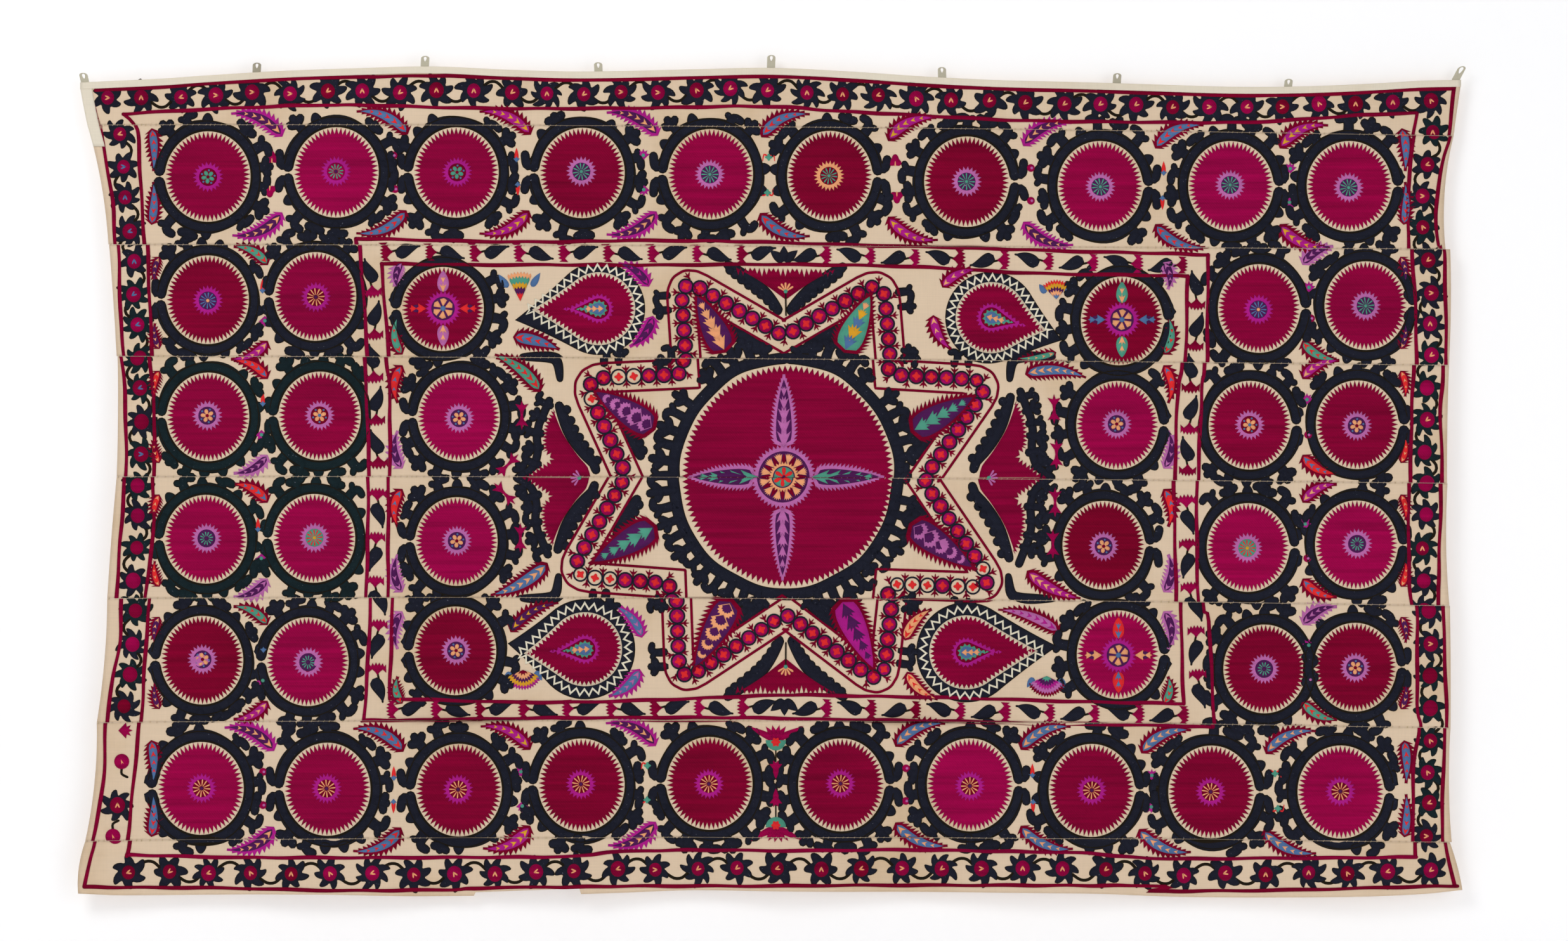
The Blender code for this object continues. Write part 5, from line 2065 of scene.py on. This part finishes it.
FIELD_LEAVES = (
    Leaf(-0.557 - 0.584j, -0.456 - 0.611j, 0.0155, 0.05, "crimson", "blue", "red"),
    Leaf(-0.497 - 0.703j, -0.602 - 0.622j, 0.0150, -0.10, "crimson", "teal", "red"),
    Leaf(-0.4815 - 1.073j, -0.605 - 1.143j, 0.0160, 0.08, "crimson", "blue", "peach"),
    Leaf(-0.562 - 1.2235j, -0.458 - 1.160j, 0.0120, 0.12, "crimson", "plum", "gold"),
    Leaf(0.627 - 1.2235j, 0.494 - 1.1745j, 0.0135, -0.08, "crimson", "lilac", "magenta"),
    Leaf(0.552 - 0.665j, 0.684 - 0.672j, 0.0150, 0.10, "crimson", "blue", "peach"),
    Leaf(0.620 - 0.617j, 0.535 - 0.630j, 0.0085, 0.06, "crimson", "teal", "peach"),
    Leaf(0.556 - 1.090j, 0.672 - 1.150j, 0.0155, -0.08, "crimson", "magenta", "peach"),
)


LEAF_TOOTH = 0.0098


class SUZANI_OT_leaves(bpy.types.Operator):
    """The serrated leaves between the medallions, beside the lines and round the drops"""

    bl_idname = "suzani.leaves"
    bl_label = "Serrated leaves"

    def execute(self, context):
        threads = Threads()
        for number, grown in enumerate(leaf_places()):
            self.leaf_shape(threads, grown, random.Random(500 + number))
        threads.sew("leaves")
        return {"FINISHED"}

    def leaf_shape(self, threads, grown, rng):
        base, tip = grown.base, grown.tip
        threads.home = width_at((base + tip) / 2)
        length = abs(tip - base)
        teeth = max(int(length / LEAF_TOOTH), 7)
        half = grown.half * rng.uniform(0.92, 1.06)
        edge = leaf(base, tip, half, teeth=teeth, tooth=LEAF_TOOTH, bend=grown.bend, blunt=0.42, taper=0.95)
        threads.lay(grown.edge, [edge], 0)
        inner_base = spine_place(base, tip, grown.bend, 0.05)
        inner_tip = spine_place(base, tip, grown.bend, 0.94)
        inside = leaf(inner_base, inner_tip, half * 0.72, bend=grown.bend * 0.85, blunt=0.42, taper=0.95)
        threads.lay(grown.ground, [inside], 1)
        marks = max(int(length / 0.021), 3)
        for k in range(marks):
            t = 0.14 + 0.76 * k / marks
            at = spine_place(base, tip, grown.bend, t)
            way = spine_place(base, tip, grown.bend, t + 0.05) - at
            radius = half * 0.78 * (1.15 - 0.75 * t)
            shape = fan(at, unit(way), max(radius, 0.0035), 2, 42, 0.7)
            threads.lay(grown.mark, [shape], 2)


# Each double fan's place and its way
DOUBLE_FANS = (
    (-0.5355 - 0.753j, 1j), (-0.566 - 0.861j, 1 + 1j), (-0.570 - 0.923j, 1 - 1j), (-0.5355 - 1.019j, 1j),
    (0.617 - 0.740j, 1j), (0.622 - 0.838j, 1j), (0.622 - 0.942j, 1j), (0.617 - 1.032j, 1j),
)
Corner = namedtuple("Corner", "at way spread radius dyes")
CORNER_FANS = (
    Corner(-0.545 - 0.506j, turned(92), 26, 0.0640, ("peach", "teal", "gold", "plum", "red")),
    Corner(0.616 - 0.502j, turned(92), 44, 0.0430, ("red", "gold", "plum", "peach", "blue")),
    Corner(-0.540 - 1.305j, turned(-88), 68, 0.0440, ("magenta", "gold", "plum", "peach", "crimson")),
    Corner(0.594 - 1.318j, turned(-92), 66, 0.0460, ("crimson", "lilac", "magenta", "plum", "teal")),
)


class SUZANI_OT_sprigs(bpy.types.Operator):
    """The trefoils, balls, buds, flames and crowns in the gaps"""

    bl_idname = "suzani.sprigs"
    bl_label = "Small fillings"

    def execute(self, context):
        threads = Threads()
        rng = random.Random(77)
        for number, (place, kind) in enumerate(filler_places()):
            self.filler(threads, place, -1 if number % 2 else 1, kind, rng)
        before, after = LOW_ROW[CROWN_GAP:CROWN_GAP + 2]
        self.crowns(threads, complex((before.x + after.x) / 2, before.z))
        for place, way in DOUBLE_FANS:
            self.double_fan(threads, place, unit(way))
        for corner in CORNER_FANS:
            for dye, radius in zip(corner.dyes, (1.0, 0.86, 0.66, 0.50, 0.30)):
                self.wedge(threads, dye, corner, corner.radius * radius)
            for side in (-1, 1):
                root = corner.at + corner.way * turned(side * (corner.spread + 14)) * corner.radius * 0.62
                blade = leaf(root, root + corner.way * turned(side * 34) * corner.radius * 0.55, 0.0072)
                threads.lay("blue", [blade], 0)
        threads.sew("fillings")
        return {"FINISHED"}

    def filler(self, threads, at, up, kind, rng):
        at = at + complex(rng.uniform(-0.004, 0.004), rng.uniform(-0.003, 0.003))
        if kind == 0:
            threads.lay("rose", [lobed(at, 0.0150, 3, 0.38, turn=90 * up, steps=8)], 0)
            threads.lay("peach", [petal(at, -1j * up, 0.001, 0.0095, 0.0030)], 1)
        elif kind == 1:
            threads.lay("rose", [ellipse(at, 0.0085, steps=14)], 0)
            threads.lay("lilac", [ellipse(at + 0.002, 0.0030, steps=8)], 1)
        elif kind == 2:
            threads.lay("red", [leaf(at - 0.012j * up, at + 0.016j * up, 0.0045)], 0)
            threads.lay("blue", [fan(at - 0.010j * up, 1j * up, 0.0075, 3, 70)], 1)
        elif kind == 3:
            threads.lay("magenta", [fan(at, 1j * up, 0.0140, 5, 80)], 0)
            threads.lay("teal", [ellipse(at, 0.0040, steps=10)], 1)
        else:
            for side in (-1, 1):
                turn, end = complex(0.010 * side, 0.006 * up), complex(0.013 * side, -0.008 * up)
                sweep = smooth_path([at, at + turn, at + end], 0.003)
                threads.lay("red", [stroke(sweep, np.linspace(0.004, 0.0015, len(sweep)), cap=1)], 0)
            threads.lay("teal", [lobed(at, 0.0080, 4, 0.4, steps=5)], 1)

    def double_fan(self, threads, at, way):
        """A crimson stalk with a small fan at each end."""
        stalk = np.linspace(at - way * 0.018, at + way * 0.018, 5)
        stalk = stroke(stalk, [0.006, 0.008, 0.005, 0.008, 0.006], cap=2)
        fans = [fan(at + way * end * 0.016, way * end, 0.0165, 3, 60, 0.62) for end in (-1, 1)]
        threads.lay("rose", [stalk, *fans], 2)

    def wedge(self, threads, dye, corner, radius):
        """One layer of a corner's fan: pointed rays round an arc, from the place where the fan begins."""
        rays = max(int(2 * math.radians(corner.spread) * radius / 0.0065), 3)
        angles = np.radians(np.linspace(-corner.spread, corner.spread, 2 * rays + 1))
        reach = np.where(np.arange(2 * rays + 1) % 2 == 1, radius, radius - 0.0055)
        level = corner.dyes.index(dye)
        rays = np.concatenate([[0], reach * np.exp(1j * angles)])
        threads.lay(dye, [corner.at + corner.way * rays], level)

    def crowns(self, threads, middle):
        """The two crowns with a teal half moon, above and below the middle gap of the lowest row."""
        for up in (1, -1):
            at = middle + 0.098j * up
            spikes = (-66, 0.066), (-40, 0.034), (-15, 0.030), (15, 0.030), (40, 0.034), (66, 0.066)
            for lean, length in spikes:
                spike = leaf(at - 0.004j * up, at + 1j * up * turned(lean) * length, 0.0072, taper=1.2)
                threads.lay("rose", [spike], 0)
            moon = at - 0.004j * up + 0.022 * np.exp(1j * np.radians(np.linspace(0, 180, 14))) * -up
            threads.lay("teal", [moon], 1)
            threads.lay("red", [lobed(at - 0.008j * up, 0.0105, 6, 0.3, steps=5)], 2)
            stem = stroke(np.linspace(at - 0.026j * up, at - 0.050j * up, 5), 0.0030, cap=2)
            threads.lay("outline", [stem], 0)
            threads.lay("rose", [fan(at - 0.062j * up, 1j * up, 0.0155, 4, 65)], 1)
            threads.lay("rose", [leaf(at - 0.060j * up, at - 0.088j * up, 0.0060)], 1)


STITCH_LIFT = 0.00105
STITCH_PITCH = 0.0130


class SUZANI_OT_seams(bpy.types.Operator):
    """The oversewing that joins the loom widths"""

    bl_idname = "suzani.seams"
    bl_label = "Seam stitches"

    def execute(self, context):
        rng = random.Random(5)
        work = Stitching()
        dye = colours().seam
        for index, seam in enumerate(SEAMS):
            left = max(LOOM_WIDTHS[index].low_left, LOOM_WIDTHS[index + 1].left) + 0.004
            right = min(LOOM_WIDTHS[index].low_right, LOOM_WIDTHS[index + 1].right) - 0.004
            x = left
            while x < right:
                z = float(seam_height(seam, x))
                reach = complex(0.0010, 0.0017 + rng.uniform(-0.0004, 0.0004))
                path = np.array([complex(x, z) - reach, complex(x, z), complex(x, z) + reach])
                stitch = stroke(path, [0.0007, 0.0010, 0.0007], cap=1)
                work.fill(stitch, STITCH_LIFT, mixed(dye, colours().cotton, rng.random()))
                x += STITCH_PITCH * rng.uniform(0.7, 1.4)
        work.sew("seam_stitches", "seam_thread", material("seam_silk"), material("seam_silk"))
        return {"FINISHED"}


ROOM_PAINT = (0.92, 0.92, 0.92, 1.0)


class SUZANI_OT_stage(bpy.types.Operator):
    """Pale floor and wall, soft light and the camera"""

    bl_idname = "suzani.stage"
    bl_label = "Stage"

    def execute(self, context):
        self.make_room()
        self.make_light("key", (-2.6, -4.2, 2.4), 2.6, 95)
        self.make_light("fill", (3.4, -4.6, -0.2), 3.2, 42)
        self.make_light("behind", (0.8, 4.5, 1.2), 3.0, 110)
        world = bpy.data.worlds.new("pale")
        world.use_nodes = True
        world.node_tree.nodes["Background"].inputs["Color"].default_value = (0.97, 0.97, 1.0, 1.0)
        world.node_tree.nodes["Background"].inputs["Strength"].default_value = 0.50
        context.scene.world = world
        context.scene.view_settings.view_transform = "Standard"
        self.make_camera(context)
        return {"FINISHED"}

    def make_room(self):
        """A wall close behind the hanging that curves into a floor: clear from behind, and to shadows."""
        wall_depth, floor, radius = 0.030, -2.15, 0.35
        profile = [(wall_depth, 1.6), (wall_depth, floor + radius)]
        for step in range(1, 9):
            angle = math.pi / 2 * step / 8
            forward, down = radius * (1 - math.cos(angle)), radius * (1 - math.sin(angle))
            profile.append((wall_depth - forward, floor + down))
        profile.append((-9.0, floor))
        verts = [(x, y, z) for x in (-6.0, 6.0) for y, z in profile]
        count = len(profile)
        faces = [(i, i + 1, count + i + 1, count + i) for i in range(count - 1)]
        mesh = bpy.data.meshes.new("room")
        mesh.from_pydata(verts, [], faces)
        mesh.shade_smooth()
        room = put("room", mesh)
        shader = Shader("room_white")
        glow = (1.0, 1.0, 1.0, 1.0)
        shader.finish(Base_Color=ROOM_PAINT, Roughness=0.9, Emission_Color=glow, Emission_Strength=0.16)
        clear = shader.add("ShaderNodeBsdfTransparent")
        behind = shader.add("ShaderNodeNewGeometry", output="Backfacing")
        surface = Socket(shader, shader.surface.outputs[0])
        shadow = shader.add("ShaderNodeLightPath", output="Is Shadow Ray")
        lets_through = shader.maths("MAXIMUM", behind, shadow)
        shown = shader.add("ShaderNodeMixShader", inputs={0: lets_through, 1: surface, 2: clear})
        shader.feed(shader.nodes["Material Output"].inputs["Surface"], shown)
        mesh.materials.append(shader.material)

    def make_light(self, name, place, size, power):
        light = bpy.data.lights.new(name, "AREA")
        light.shape = "DISK"
        light.size = size
        light.energy = power
        lamp = put(name, light)
        lamp.location = place
        lamp.rotation_euler = (Vector((0, 0, -0.9)) - Vector(place)).to_track_quat("-Z", "Y").to_euler()

    def make_camera(self, context):
        """Square on to the hanging, as far back as a long lens needs."""
        distance, view_width = 9.0, 3.399
        camera = bpy.data.cameras.new("camera")
        camera.sensor_width = 36.0
        camera.lens = camera.sensor_width * distance / view_width
        holder = put("camera", camera)
        holder.location = (0.0302, -distance, -0.8731)
        holder.rotation_euler = (math.pi / 2, 0, 0)
        context.scene.camera = holder


OPERATORS = (
    SUZANI_OT_cotton,
    SUZANI_OT_tapes,
    SUZANI_OT_loops,
    SUZANI_OT_rounds,
    SUZANI_OT_rings,
    SUZANI_OT_florets,
    SUZANI_OT_guard_lines,
    SUZANI_OT_border_flowers,
    SUZANI_OT_frame_band,
    SUZANI_OT_star,
    SUZANI_OT_centre,
    SUZANI_OT_paisleys,
    SUZANI_OT_notch_fields,
    SUZANI_OT_leaves,
    SUZANI_OT_sprigs,
    SUZANI_OT_seams,
    SUZANI_OT_stage,
)


class SUZANI_PT_panel(bpy.types.Panel):
    bl_label = "Suzani hanging"
    bl_space_type = "VIEW_3D"
    bl_region_type = "UI"
    bl_category = "Suzani"

    def draw(self, context):
        for operator in OPERATORS:
            self.layout.operator(operator.bl_idname)
        for settings in (context.scene.suzani_sizes, context.scene.suzani_colours):
            box = self.layout.box()
            for name in settings.__annotations__:
                box.prop(settings, name)


CLASSES = (ThreadColours, StitchSizes, *OPERATORS, SUZANI_PT_panel)


def register():
    for made in CLASSES:
        bpy.utils.register_class(made)
    bpy.types.Scene.suzani_colours = bpy.props.PointerProperty(type=ThreadColours)
    bpy.types.Scene.suzani_sizes = bpy.props.PointerProperty(type=StitchSizes)


def unregister():
    del bpy.types.Scene.suzani_sizes
    del bpy.types.Scene.suzani_colours
    for made in reversed(CLASSES):
        bpy.utils.unregister_class(made)


def main():
    register()
    for operator in OPERATORS:
        family, name = operator.bl_idname.split(".")
        getattr(getattr(bpy.ops, family), name)()


if __name__ == "__main__":
    main()
